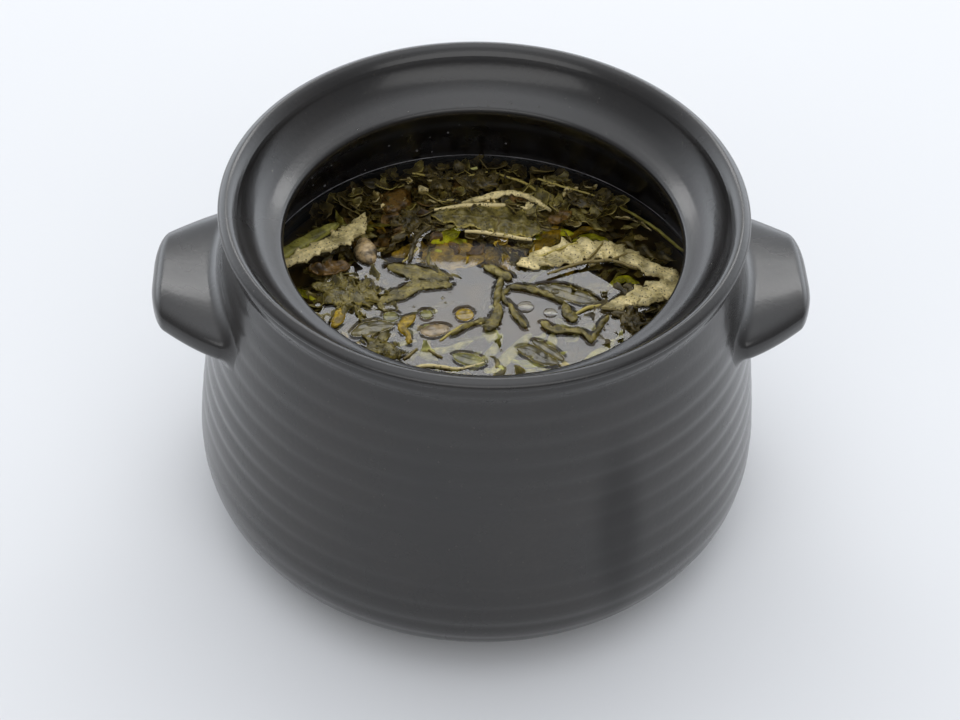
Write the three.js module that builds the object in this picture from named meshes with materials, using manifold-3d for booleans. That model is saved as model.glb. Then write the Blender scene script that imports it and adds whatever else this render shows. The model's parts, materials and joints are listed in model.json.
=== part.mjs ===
// A two-handled stoneware pot, filled below its neck with a dark broth on which
// wilted leaves, stalks and leaf clumps float. Millimetres, +Z up, origin at the
// middle of the flat base, handles on the X axis.

import * as THREE from 'three';
import { mergeVertices } from 'three/addons/utils/BufferGeometryUtils.js';
import Module from 'manifold-3d';

const wasm = await Module();
wasm.setup();

// Pot, outside
const BASE_RADIUS = 65.5;
const BELLY_RADIUS = 128.3;
const BELLY_HEIGHT = 42;
const BELLY_ROUNDNESS = 0.72;
const SHOULDER_POWER = 1.23;
const NECK_RADIUS = 111.9;
const NECK_HEIGHT = 155;

// Rim and the hollow seat for a lid inside it
const RIM_RADIUS = 115;
const RIM_EDGE_HEIGHT = 165;
const CREST_RADIUS = 111.2;
const CREST_HEIGHT = 168.1;
const LIP_FOOT_RADIUS = 106.2;
const LIP_FOOT_HEIGHT = 163.4;
const SEAT_OUTER_RADIUS = 102.4;
const SEAT_OUTER_HEIGHT = 157.4;
const SEAT_INNER_RADIUS = 95;
const SEAT_INNER_HEIGHT = 151;
const OPENING_RADIUS = 87.5;
const OPENING_HEIGHT = 145.6;

// Pot, inside
const FLOOR_HEIGHT = 12;
const FLOOR_RADIUS = 72;
const CAVITY_RADIUS = 116;

// Handles: flat on top, thicker and wider towards the wall
const LUG_REACH = 145.6;
const LUG_ROOT = 106;
const LUG_TOP = 128.3;
const LUG_TIP_THICKNESS = 15;
const LUG_ROOT_THICKNESS = 22;
const LUG_TIP_HALF_WIDTH = 24;
const LUG_ROOT_HALF_WIDTH = 47.5;
const LUG_NOSE = 6;

// Broth and what floats on it
const BROTH_LEVEL = 105.5;
const BROTH_RADIUS = 104.6;
const LEAF_HEADROOM = 14;
const FIT_GAP = 0.5;
const WALL_GAP = 0.45;
const BED_GAP = 0.7;
const BED_DEPTH = 2.4;
const BED_TOP = 6;
const BED_SIDES = 14;

const TURN_SEGMENTS = 44;
const PIECE_SMOOTHING = 0.15;
const BROTH_SMOOTHING = 0.25;

const finishes = {
  stoneware: { color: 0x3b3a39, roughness: 0.42, metalness: 0.0 },
  broth: { color: 0x2a1f08, roughness: 0.06, metalness: 0.0 },
  paleLeaf: { color: 0xb9aa7c, roughness: 0.55, metalness: 0.0 },
  greenStalk: { color: 0x7f7f3c, roughness: 0.45, metalness: 0.0 },
  wiltedLeaf: { color: 0x5a5030, roughness: 0.5, metalness: 0.0 },
  darkLeaf: { color: 0x37301c, roughness: 0.5, metalness: 0.0 },
  brownLeaf: { color: 0x7a4d26, roughness: 0.45, metalness: 0.0 },
  amberLeaf: { color: 0xa8741a, roughness: 0.35, metalness: 0.0 },
  pinkLump: { color: 0xb08c6c, roughness: 0.6, metalness: 0.0 },
};

// ---------------------------------------------------------------- solid tools

// A repeatable draw between 0 and 1.
function makeRandom(seed) {
  let state = (seed * 2654435761 + 12345) >>> 0;
  return () => {
    state = (state * 1664525 + 1013904223) >>> 0;
    return state / 4294967296;
  };
}

// Turns a closed three.js geometry into a solid that faces outwards.
function toSolid(geometry) {
  const bare = geometry.clone();
  bare.deleteAttribute('normal');
  bare.deleteAttribute('uv');
  const merged = mergeVertices(bare, 1e-4);
  const index = merged.index.array;
  const position = merged.attributes.position.array;
  const triangles = [];
  let volume = 0;
  for (let i = 0; i < index.length; i += 3) {
    const [a, b, c] = [index[i], index[i + 1], index[i + 2]];
    if (a === b || b === c || c === a) continue;
    triangles.push(a, b, c);
    const [p, q, r] = [a, b, c].map((v) => new THREE.Vector3().fromArray(position, 3 * v));
    volume += p.dot(q.cross(r));
  }
  if (volume < 0) triangles.reverse();
  return new wasm.Manifold(new wasm.Mesh({
    numProp: 3,
    vertProperties: new Float32Array(position),
    triVerts: new Uint32Array(triangles),
  }));
}

function toMesh(solid, name, finish) {
  const { vertProperties, triVerts, numProp } = solid.getMesh();
  const geometry = new THREE.BufferGeometry();
  const position = new Float32Array((vertProperties.length / numProp) * 3);
  for (let v = 0; v < position.length / 3; v++) {
    for (let k = 0; k < 3; k++) position[3 * v + k] = vertProperties[numProp * v + k];
  }
  geometry.setAttribute('position', new THREE.BufferAttribute(position, 3));
  geometry.setIndex(Array.from(triVerts));
  const mesh = new THREE.Mesh(geometry, new THREE.MeshStandardMaterial(finishes[finish]));
  mesh.name = name;
  return mesh;
}

function unionAll(solids) {
  return solids.reduce((whole, next) => whole.add(next));
}

// Cutting can leave scraps: only the largest body is the piece.
function largestBody(solid) {
  const bodies = solid.decompose();
  return bodies.reduce((best, next) => (next.volume() > best.volume() ? next : best));
}

function lathe(profile, segments) {
  const points = profile.map(([r, z]) => new THREE.Vector2(r, z));
  return toSolid(new THREE.LatheGeometry(points, segments).rotateX(Math.PI / 2));
}

// Closed skin over a list of rings, each a list of the same number of points.
function loft(rings) {
  const count = rings[0].length;
  const positions = rings.flat().flatMap((p) => [p.x, p.y, p.z]);
  const index = [];
  for (let i = 0; i + 1 < rings.length; i++) {
    for (let j = 0; j < count; j++) {
      const [a, b] = [i * count + j, i * count + ((j + 1) % count)];
      index.push(a, b, b + count, a, b + count, a + count);
    }
  }
  const last = (rings.length - 1) * count;
  for (let j = 1; j + 1 < count; j++) {
    index.push(0, j + 1, j);
    index.push(last, last + j, last + j + 1);
  }
  const geometry = new THREE.BufferGeometry();
  geometry.setAttribute('position', new THREE.Float32BufferAttribute(positions, 3));
  geometry.setIndex(index);
  return toSolid(geometry);
}

// ------------------------------------------------------------------------ pot

// Outer wall from the edge of the flat base to the crease under the neck.
function outerWall() {
  const points = [];
  const roundSteps = 7;
  for (let i = 0; i <= roundSteps; i++) {
    const t = (Math.PI / 2) * (1 - i / roundSteps);
    const r = BASE_RADIUS + (BELLY_RADIUS - BASE_RADIUS) * Math.cos(t) ** BELLY_ROUNDNESS;
    points.push([r, BELLY_HEIGHT * (1 - Math.sin(t) ** BELLY_ROUNDNESS)]);
  }
  const shoulderSteps = 5;
  for (let i = 1; i <= shoulderSteps; i++) {
    const u = i / shoulderSteps;
    const r = BELLY_RADIUS - (BELLY_RADIUS - NECK_RADIUS) * u ** SHOULDER_POWER;
    points.push([r, BELLY_HEIGHT + (NECK_HEIGHT - BELLY_HEIGHT) * u]);
  }
  return points;
}

// Neck, lip and crest, then down the seat to the opening.
function rimWall() {
  return [
    [NECK_RADIUS + 1.1, NECK_HEIGHT + 4.2],
    [NECK_RADIUS + 0.9, NECK_HEIGHT + 7.4],
    [RIM_RADIUS - 0.1, RIM_EDGE_HEIGHT - 0.7],
    [RIM_RADIUS - 0.2, RIM_EDGE_HEIGHT + 0.6],
    [CREST_RADIUS + 2.2, CREST_HEIGHT - 0.9],
    [CREST_RADIUS, CREST_HEIGHT],
    [CREST_RADIUS - 2, CREST_HEIGHT - 1],
    [LIP_FOOT_RADIUS, LIP_FOOT_HEIGHT],
    [SEAT_OUTER_RADIUS, SEAT_OUTER_HEIGHT],
    [SEAT_INNER_RADIUS, SEAT_INNER_HEIGHT],
    [OPENING_RADIUS + 0.9, OPENING_HEIGHT + 0.7],
    [OPENING_RADIUS, OPENING_HEIGHT - 0.6],
  ];
}

// Inner wall from the opening down to the floor, moved in by inset.
function innerWall(inset) {
  return [
    [91.5 - inset, 138],
    [98 - inset, 128.5],
    [102.6 - inset, 116],
    [BROTH_RADIUS - inset, BROTH_LEVEL],
    [111 - inset, 79],
    [CAVITY_RADIUS - inset, 48],
    [CAVITY_RADIUS - 3.5 - inset, 29],
    [CAVITY_RADIUS - 18 - inset, FLOOR_HEIGHT + 3 + inset],
    [FLOOR_RADIUS - inset, FLOOR_HEIGHT + inset],
  ];
}

// Half-width, thickness and roundness at the nose, at a distance from the pot's axis.
function lugSize(distance) {
  const run = THREE.MathUtils.clamp((distance - LUG_ROOT) / (LUG_REACH - LUG_ROOT), 0, 1);
  const nose = Math.max(0, 1 - (LUG_REACH - distance) / LUG_NOSE);
  const taper = Math.sqrt(1 - 0.97 * nose ** 2.2);
  const width = LUG_ROOT_HALF_WIDTH - (LUG_ROOT_HALF_WIDTH - LUG_TIP_HALF_WIDTH) * run ** 1.55;
  const thickness = LUG_TIP_THICKNESS + (LUG_ROOT_THICKNESS - LUG_TIP_THICKNESS) * (1 - run) ** 0.6;
  return { halfWidth: width * (0.25 + 0.75 * taper), thickness, taper };
}

function lug(side) {
  const around = 16;
  const stations = [0, 0.3, 0.5, 0.7, 0.85, 0.93, 0.975, 1];
  return loft(stations.map((s) => {
    const distance = LUG_ROOT + (LUG_REACH - LUG_ROOT) * s;
    const { halfWidth, thickness, taper } = lugSize(distance);
    return Array.from({ length: around }, (_, j) => {
      const a = (2 * Math.PI * (j + 0.5)) / around;
      const y = halfWidth * Math.sign(Math.cos(a)) * Math.abs(Math.cos(a)) ** 0.6;
      const z = 0.5 * thickness * (taper * Math.sign(Math.sin(a)) * Math.abs(Math.sin(a)) ** 0.7 - 1);
      return new THREE.Vector3(side * distance, y, LUG_TOP + z);
    });
  }));
}

function pot() {
  const profile = [[0, 0], ...outerWall(), ...rimWall(), ...innerWall(0), [0, FLOOR_HEIGHT]];
  return lathe(profile, TURN_SEGMENTS).add(lug(1)).add(lug(-1));
}

// The space inside the wall, up to some way above the broth.
function cavity(inset, top) {
  const wall = innerWall(inset).filter(([, z]) => z <= top);
  const below = innerWall(inset).filter(([, z]) => z > top).pop();
  const [r0, z0] = wall[0];
  const edge = below ? r0 + ((below[0] - r0) * (top - z0)) / (below[1] - z0) : r0;
  return [[0, top], [edge, top], ...wall, [0, FLOOR_HEIGHT + inset]];
}

// ------------------------------------------------------------- floating pieces

// A leaf or stalk lying along a spine of [x, y, half-width] points on the broth.
// Both faces carry the same triangles. grow makes the roomier copy that keeps others
// clear; with bed it is a straight-sided pit of the same outline.
function ribbon(shape, grow = 0, bed = false) {
  const { spine, thick = 1.4, lift = 0.6, wave = 0.5, cup = 0, seed = 1 } = shape;
  const { rows = 8, cols = 2, blunt = 5 } = shape;
  const random = makeRandom(seed);
  const [phase, ripple, lean] = [random() * 6.3, 2.2 + 2 * random(), (random() - 0.5) * 0.5];
  const curve = new THREE.CatmullRomCurve3(spine.map(([x, y, w]) => new THREE.Vector3(x, y, w)));
  const faces = [[], []];
  for (let i = 0; i <= rows; i++) {
    const t = i / rows;
    const centre = curve.getPoint(t);
    const along = curve.getTangent(t).setZ(0).normalize();
    const across = new THREE.Vector3(-along.y, along.x, 0);
    const end = Math.abs(2 * t - 1);
    const half = centre.z * Math.sqrt(1 - 0.9 * end ** blunt) + grow;
    const push = ((i === rows) - (i === 0)) * grow;
    for (let j = 0; j <= cols; j++) {
      const v = (2 * j) / cols - 1;
      const frill = 1 + 0.14 * wave * Math.sin(2.3 * i + phase + 2 * v);
      const p = new THREE.Vector3(centre.x, centre.y, BROTH_LEVEL);
      p.addScaledVector(across, half * v * frill).addScaledVector(along, push);
      const rise = lift + cup * v * v + lean * v
        + wave * Math.sin(phase + ripple * i + 2.1 * v) * (0.35 + 0.65 * Math.abs(v));
      const body = (thick / 2) * Math.sqrt(1 - 0.75 * v * v) + grow;
      faces[0].push(p.clone().setZ(BROTH_LEVEL + rise + body));
      faces[1].push(p.clone().setZ(BROTH_LEVEL + rise - body));
    }
  }
  if (bed) {
    faces[0].forEach((p) => p.setZ(BROTH_LEVEL + BED_TOP));
    faces[1].forEach((p) => p.setZ(BROTH_LEVEL - BED_DEPTH));
  }
  return skin(faces, rows, cols);
}

// Closes two like grids of points, upper and lower, with a rim round them.
function skin([upper, lower], rows, cols) {
  const width = cols + 1;
  const shift = upper.length;
  const index = [];
  for (let i = 0; i < rows; i++) {
    for (let j = 0; j < cols; j++) {
      const a = i * width + j;
      const [b, c, d] = [a + 1, a + width, a + width + 1];
      index.push(a, c, b, b, c, d);
      index.push(shift + a, shift + b, shift + c, shift + b, shift + d, shift + c);
    }
  }
  const rim = [];
  for (let j = 0; j < cols; j++) rim.push(j);
  for (let i = 0; i < rows; i++) rim.push(i * width + cols);
  for (let j = cols; j > 0; j--) rim.push(rows * width + j);
  for (let i = rows; i > 0; i--) rim.push(i * width);
  rim.forEach((a, k) => {
    const b = rim[(k + 1) % rim.length];
    index.push(a, b, shift + b, a, shift + b, shift + a);
  });
  const positions = [...upper, ...lower].flatMap((p) => [p.x, p.y, p.z]);
  const geometry = new THREE.BufferGeometry();
  geometry.setAttribute('position', new THREE.Float32BufferAttribute(positions, 3));
  geometry.setIndex(index);
  return toSolid(geometry);
}

// A soft rounded lump, uneven all round; its bed is a straight-sided pit.
function lump(shape, grow = 0, bed = false) {
  const { at: [x, y], radii: [a, b, c], turn = 0, lift = 0, seed = 1, detail = 2 } = shape;
  const random = makeRandom(seed);
  const [p, q] = [random() * 6.3, random() * 6.3];
  const upright = new THREE.Vector3(0, 0, 1);
  const turned = (v) => v.applyAxisAngle(upright, (turn * Math.PI) / 180);
  if (bed) {
    const floor = Math.max(BED_DEPTH, 1.15 * c + grow - lift);
    const [wide, deep] = [1.1 * a + grow, 1.1 * b + grow];
    return loft([BED_TOP, -floor].map((level) => Array.from({ length: BED_SIDES }, (_, k) => {
      const t = (2 * Math.PI * k) / BED_SIDES;
      const edge = turned(new THREE.Vector3(wide * Math.cos(t), deep * Math.sin(t), level));
      return edge.add(new THREE.Vector3(x, y, BROTH_LEVEL));
    })));
  }
  const sphere = new THREE.IcosahedronGeometry(1, detail);
  const geometry = mergeVertices(sphere.deleteAttribute('uv').deleteAttribute('normal'), 1e-4);
  const position = geometry.attributes.position;
  for (let i = 0; i < position.count; i++) {
    const n = new THREE.Vector3().fromBufferAttribute(position, i).normalize();
    const swell = 1 + 0.09 * Math.sin(3 * n.x + p) * Math.cos(4 * n.y + q) + 0.05 * Math.sin(7 * n.y + p);
    const size = new THREE.Vector3(a, b, c).multiplyScalar(swell).addScalar(grow);
    const r = turned(n.multiply(size));
    position.setXYZ(i, x + r.x, y + r.y, BROTH_LEVEL + lift + r.z);
  }
  return toSolid(geometry);
}

// A heap of small wilted bits: a thick uneven pad with short curled leaves fused on.
function clump(shape, grow = 0, bed = false) {
  const { at: [x, y], radii: [a, b], turn = 0, bits = 5, seed = 1, size = 4 } = shape;
  const random = makeRandom(seed);
  const tilt = (turn * Math.PI) / 180;
  const [along, across] = [Math.cos(tilt), Math.sin(tilt)];
  const at = (u, v) => [x + u * along - v * across, y + u * across + v * along];
  const pad = {
    spine: [[...at(-0.62 * a, 0), 0.45 * b], [...at(0, 0), 0.66 * b], [...at(0.62 * a, 0), 0.45 * b]],
    thick: 3.4,
    lift: 0.2,
    wave: 0.4,
    seed,
    rows: 4,
  };
  const leaves = [];
  for (let i = 0; i < bits; i++) {
    const angle = (2 * Math.PI * (i + 0.7 * random())) / bits;
    const far = 0.5 + 0.25 * random();
    const [cx, cy] = at(a * far * Math.cos(angle), b * far * Math.sin(angle));
    const heading = angle + tilt + (random() - 0.5) * 1.6;
    const length = size * (0.9 + 0.7 * random());
    const half = size * (0.35 + 0.25 * random());
    const [dx, dy] = [length * Math.cos(heading), length * Math.sin(heading)];
    leaves.push(ribbon({
      spine: [[cx - dx, cy - dy, half * 0.8], [cx, cy, half], [cx + dx, cy + dy, half * 0.5]],
      thick: 1.6,
      lift: 0.5 + 1.1 * random(),
      wave: 0.6,
      seed: seed * 31 + i,
      rows: 2,
      cols: 1,
      blunt: 3,
    }, grow, bed));
  }
  return unionAll([ribbon(pad, grow, bed), ...leaves]).simplify(PIECE_SMOOTHING);
}

// Several ribbons that grow from one leaf or sprig.
function sprig(shape, grow = 0, bed = false) {
  return unionAll(shape.parts.map((part) => ribbon(part, grow, bed))).simplify(PIECE_SMOOTHING);
}

const makers = { ribbon, lump, clump, sprig };

// Every piece that floats in the broth, the ones on top first.
const floating = [
  ['stalk_green', 'greenStalk', 'ribbon', {
    spine: [[-96, 27, 3.2], [-84, 37.5, 3.4], [-74, 46.5, 3], [-64.5, 54, 2]],
    thick: 4.4, lift: 0.5, wave: 0.2, seed: 3,
  }],
  ['stalk_pale', 'paleLeaf', 'ribbon', {
    spine: [[-96, 20, 2.6], [-84, 29, 3.2], [-68, 40, 4.6], [-57, 49, 5], [-52.5, 61, 1.6]],
    thick: 2.6, lift: 1.1, wave: 0.4, seed: 5, rows: 12,
  }],
  ['lump_pale', 'pinkLump', 'lump', {
    at: [-52, 35], radii: [5.2, 8.6, 3.4], turn: 10, lift: 0.2, seed: 4,
  }],
  ['leaf_brown', 'brownLeaf', 'ribbon', {
    spine: [[-78, 22, 3], [-69, 22, 4.6], [-59, 25.5, 3.2]],
    thick: 1.8, lift: 0.7, wave: 0.6, cup: 0.8, seed: 9, rows: 8,
  }],
  ['lump_brown', 'brownLeaf', 'lump', {
    at: [-38, 72], radii: [7.4, 9.4, 4], turn: -20, lift: -2.6, seed: 6,
  }],
  ['leaf_fork', 'paleLeaf', 'sprig', {
    parts: [
      { spine: [[17, 25, 3.4], [32, 30, 6.5], [46, 35, 7], [60, 36, 5.5], [68, 32, 4.4]],
        thick: 2.2, lift: 1.1, wave: 0.7, seed: 12, rows: 10, cols: 3 },
      { spine: [[64, 35, 4.5], [74, 27, 3.6], [84, 19, 4.4], [92, 13, 3.6]],
        thick: 2.4, lift: 1.1, wave: 0.5, seed: 14, rows: 6 },
      { spine: [[54, -4, 1.8], [65, 0, 3.8], [77, 6, 6.6], [91, 12, 6]],
        thick: 2.6, lift: 1, wave: 0.4, seed: 15, rows: 6 },
    ],
  }],
  ['leaf_wilted_top', 'wiltedLeaf', 'ribbon', {
    spine: [[-22, 60, 2.4], [-8, 58.5, 6], [8, 56.5, 8.4], [20, 52.5, 8], [30, 47.5, 3.2]],
    thick: 1.9, lift: 1, wave: 0.8, seed: 17, rows: 13, cols: 4,
  }],
  ['rib_top', 'paleLeaf', 'ribbon', {
    spine: [[-7, 69, 1.2], [4, 73, 1.8], [15, 76.5, 1.6], [24, 74, 1.4], [35, 63.5, 1.1]],
    thick: 2, lift: 0.7, wave: 0.2, seed: 18, rows: 10, cols: 2,
  }],
  ['sprig_red', 'brownLeaf', 'ribbon', {
    spine: [[33.5, 55, 2.6], [38.5, 58.5, 2.8], [44.5, 63, 1.6]],
    thick: 1.9, lift: 0.9, wave: 0.5, seed: 19, rows: 5, cols: 2,
  }],
  ['sprig_centre', 'wiltedLeaf', 'sprig', {
    parts: [
      { spine: [[2, 24.5, 1.8], [8, 20.5, 2.6], [14.5, 15.5, 2.2]],
        thick: 2.2, lift: 0.9, seed: 21, rows: 5, cols: 1 },
      { spine: [[10, 19, 1.5], [8.4, 9, 1.7], [6.4, -3, 1.5]],
        thick: 1.8, lift: 0.8, seed: 22, rows: 5, cols: 1 },
      { spine: [[7, 0, 1.6], [7.5, -7, 2.4], [4, -14.5, 3], [1.5, -18, 2]],
        thick: 2, lift: 0.8, seed: 23, rows: 7, cols: 2 },
      { spine: [[6.5, -11, 1.2], [-4, -13.5, 1.1], [-14, -21, 1]],
        thick: 1.4, lift: 0.7, seed: 24, rows: 5, cols: 1 },
    ],
  }],
  ['leaf_rib_right', 'wiltedLeaf', 'sprig', {
    parts: [
      { spine: [[12.4, 10.6, 1.6], [23, 9, 2], [31, 5, 1.5], [39, -1.5, 1.2]],
        thick: 1.8, lift: 0.8, seed: 25, rows: 7, cols: 1 },
      { spine: [[12.5, 0, 1], [15, -7.5, 1.8], [19.8, -16.5, 1.6]],
        thick: 1.6, lift: 0.7, seed: 26, rows: 5, cols: 1 },
      { spine: [[37.5, -0.5, 1.2], [39, -7, 3], [42, -12, 2.6]],
        thick: 1.5, lift: 0.7, seed: 27, rows: 5, cols: 2 },
      { spine: [[12, -1, 1.4], [10, 5, 1.2], [13, 10, 1.6]],
        thick: 1.5, lift: 0.7, seed: 28, rows: 4, cols: 1 },
    ],
  }],
  ['leaf_hook', 'wiltedLeaf', 'sprig', {
    parts: [
      { spine: [[26.8, -12, 2], [30.5, -17, 2.4], [38, -18, 1.9], [45, -19.6, 1.7], [48.6, -26, 1.5]],
        thick: 1.7, lift: 0.7, seed: 31, rows: 9, cols: 2 },
      { spine: [[48.6, -25, 1.4], [52.3, -16.5, 1.3], [57, -8.5, 1.2]],
        thick: 1.5, lift: 0.7, seed: 32, rows: 5, cols: 1 },
    ],
  }],
  ['leaf_smooth', 'wiltedLeaf', 'ribbon', {
    spine: [[26.5, 12, 1.6], [36, 8.4, 4.4], [46, 3.6, 4.2], [54, 0.6, 1.4]],
    thick: 1.1, lift: 0.3, wave: 0.15, seed: 33, rows: 8, cols: 2,
  }],
  ['leaf_float_left', 'wiltedLeaf', 'sprig', {
    parts: [
      { spine: [[-46, 0.5, 2.2], [-37, 5.5, 3.6], [-27, 12, 3.2], [-19, 12, 2.6], [-12.5, 12, 1.8]],
        thick: 1.5, lift: 0.7, wave: 0.4, seed: 35, rows: 8 },
      { spine: [[-42, 24, 3], [-31, 21, 4.2], [-21, 17.5, 3.4], [-14, 15.5, 1.8]],
        thick: 1.4, lift: 0.7, wave: 0.5, seed: 36, rows: 6 },
      { spine: [[-31, 10, 2.4], [-29, 16, 2.4], [-27, 22, 2.4]],
        thick: 1.3, lift: 0.6, seed: 37, rows: 4, cols: 1 },
    ],
  }],
  ['stem_dark_left', 'darkLeaf', 'ribbon', {
    spine: [[-21.5, 52.5, 0.9], [-27, 47, 1], [-30.5, 37, 1.1], [-32, 27.5, 1.2]],
    thick: 1.8, lift: 0.5, wave: 0.2, seed: 38, rows: 7, cols: 2,
  }],
  ['leaf_amber_tip', 'amberLeaf', 'ribbon', {
    spine: [[-62.5, -3, 2], [-63.5, -9, 2.6], [-66, -16, 1.8]],
    thick: 1.6, lift: 0.6, wave: 0.3, seed: 39, rows: 5, cols: 2,
  }],
  ['leaf_amber', 'amberLeaf', 'ribbon', {
    spine: [[-29.6, -7.6, 1.2], [-33, -11.5, 2.7], [-35.5, -16, 1.9], [-33, -21, 1.3], [-32.6, -26.5, 1.6]],
    thick: 1.5, lift: 0.6, wave: 0.2, seed: 40, rows: 8, cols: 2,
  }],
  ['pad_long', 'wiltedLeaf', 'ribbon', {
    spine: [[-58, -20.5, 3], [-49, -15.5, 4.4], [-39, -14, 2.8]],
    thick: 1.2, lift: 0.3, wave: 0.15, seed: 41, rows: 7, cols: 2, blunt: 3,
  }],
  ['pad_pink', 'pinkLump', 'ribbon', {
    spine: [[-27.6, -18.2, 3.2], [-21, -17.6, 4], [-14.4, -15.6, 2.8]],
    thick: 1.2, lift: 0.3, wave: 0.15, seed: 42, rows: 6, cols: 2, blunt: 3,
  }],
  ['pad_round_left', 'wiltedLeaf', 'ribbon', {
    spine: [[-44, -8.6, 3], [-40.5, -8.6, 3.4], [-37, -8.8, 3]],
    thick: 1.1, lift: 0.3, wave: 0.1, seed: 43, rows: 4, cols: 2, blunt: 3,
  }],
  ['pad_round_centre', 'wiltedLeaf', 'ribbon', {
    spine: [[-27.6, -7, 2.5], [-24.7, -7, 3], [-21.8, -7, 2.5]],
    thick: 1.1, lift: 0.3, wave: 0.1, seed: 44, rows: 4, cols: 2, blunt: 3,
  }],
  ['pad_amber', 'amberLeaf', 'ribbon', {
    spine: [[-11.6, -8, 3.4], [-7.5, -7.2, 4.2], [-3.4, -6.6, 3.4]],
    thick: 1.1, lift: 0.3, wave: 0.1, seed: 45, rows: 4, cols: 2, blunt: 3,
  }],
  ['pad_front', 'greenStalk', 'ribbon', {
    spine: [[-13.4, -33, 2.8], [-6, -36.4, 4], [1, -38.6, 3]],
    thick: 1.3, lift: 0.3, wave: 0.15, seed: 46, rows: 6, cols: 2, blunt: 3,
  }],
  ['leaf_front_right', 'wiltedLeaf', 'sprig', {
    parts: [
      { spine: [[15, -29, 2.4], [21, -31, 4], [26.5, -36, 3.6], [33, -38.5, 2]],
        thick: 1.5, lift: 0.6, wave: 0.4, seed: 47, rows: 7 },
      { spine: [[22, -24, 1.6], [28, -29, 2.6], [35.4, -36.5, 2]],
        thick: 1.5, lift: 0.6, wave: 0.3, seed: 48, rows: 5, cols: 1 },
    ],
  }],
  ['clump_left', 'wiltedLeaf', 'clump', {
    at: [-60, 6], radii: [18, 11], turn: -12, bits: 7, seed: 51, size: 4.6,
  }],
  ['clump_front', 'wiltedLeaf', 'clump', {
    at: [-44, -29.5], radii: [13, 6.4], turn: -32, bits: 5, seed: 52, size: 3.6,
  }],
  ['clump_right', 'darkLeaf', 'clump', {
    at: [67, -11.5], radii: [9, 6], turn: -48, bits: 4, seed: 53, size: 3.4,
  }],
  ['clump_top_left', 'darkLeaf', 'clump', {
    at: [-17.5, 86], radii: [5.5, 10], turn: 8, bits: 4, seed: 54, size: 3.4,
  }],
  ['clump_top', 'darkLeaf', 'clump', {
    at: [1, 84.5], radii: [11, 6.5], turn: 6, bits: 5, seed: 55, size: 3.8,
  }],
  ['clump_top_right', 'darkLeaf', 'clump', {
    at: [52, 70], radii: [11, 5], turn: -12, bits: 4, seed: 56, size: 3.4,
  }],
  ['clump_middle', 'darkLeaf', 'clump', {
    at: [-32, 56], radii: [6.5, 9], turn: -28, bits: 4, seed: 57, size: 3.4,
  }],
  ['clump_near', 'wiltedLeaf', 'clump', {
    at: [-6, -78], radii: [22, 9], turn: 4, bits: 6, seed: 59, size: 4.8,
  }],
  ['leaf_near_left', 'wiltedLeaf', 'ribbon', {
    spine: [[-52, -66, 3], [-40, -60, 5.4], [-27, -57, 4]],
    thick: 1.5, lift: 0.6, wave: 0.5, seed: 61, rows: 8,
  }],
  ['leaf_near_right', 'paleLeaf', 'ribbon', {
    spine: [[26, -58, 3], [40, -60, 5.6], [53, -66, 3.2]],
    thick: 1.7, lift: 0.8, wave: 0.6, seed: 62, rows: 8,
  }],
  ['stalk_near', 'greenStalk', 'ribbon', {
    spine: [[46, -80, 1.9], [60, -62, 2.3], [72, -42, 1.9]],
    thick: 3.6, lift: 0.3, wave: 0.2, seed: 63, rows: 7,
  }],
];

// ------------------------------------------------------------------- the whole

// Each piece keeps clear of the wall and of the pieces laid before it; the broth
// is then cut round them all.
function contents() {
  const inside = lathe(cavity(WALL_GAP, BROTH_LEVEL + LEAF_HEADROOM), TURN_SEGMENTS);
  const laid = [];
  const meshes = [];
  for (const [name, finish, kind, shape] of floating) {
    let solid = makers[kind](shape).intersect(inside);
    for (const earlier of laid) solid = solid.subtract(earlier);
    meshes.push(toMesh(largestBody(solid).simplify(PIECE_SMOOTHING), name, finish));
    laid.push(makers[kind](shape, FIT_GAP));
  }
  const beds = unionAll(floating.map(([, , kind, shape]) => makers[kind](shape, BED_GAP, true)));
  const broth = lathe(cavity(WALL_GAP, BROTH_LEVEL), TURN_SEGMENTS).subtract(beds);
  meshes.unshift(toMesh(largestBody(broth).simplify(BROTH_SMOOTHING), 'broth', 'broth'));
  return meshes;
}

const model = new THREE.Group();
model.name = 'pot_of_stew';
model.add(toMesh(pot(), 'pot', 'stoneware'));
contents().forEach((mesh) => model.add(mesh));

export default model;
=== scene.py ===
"""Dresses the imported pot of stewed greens: a glazed two-handled stoneware pot with
wilted leaves, stalks and pads floating in a dark broth. Lengths in the mesh code are
millimetres; bpy properties are metres."""

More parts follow.
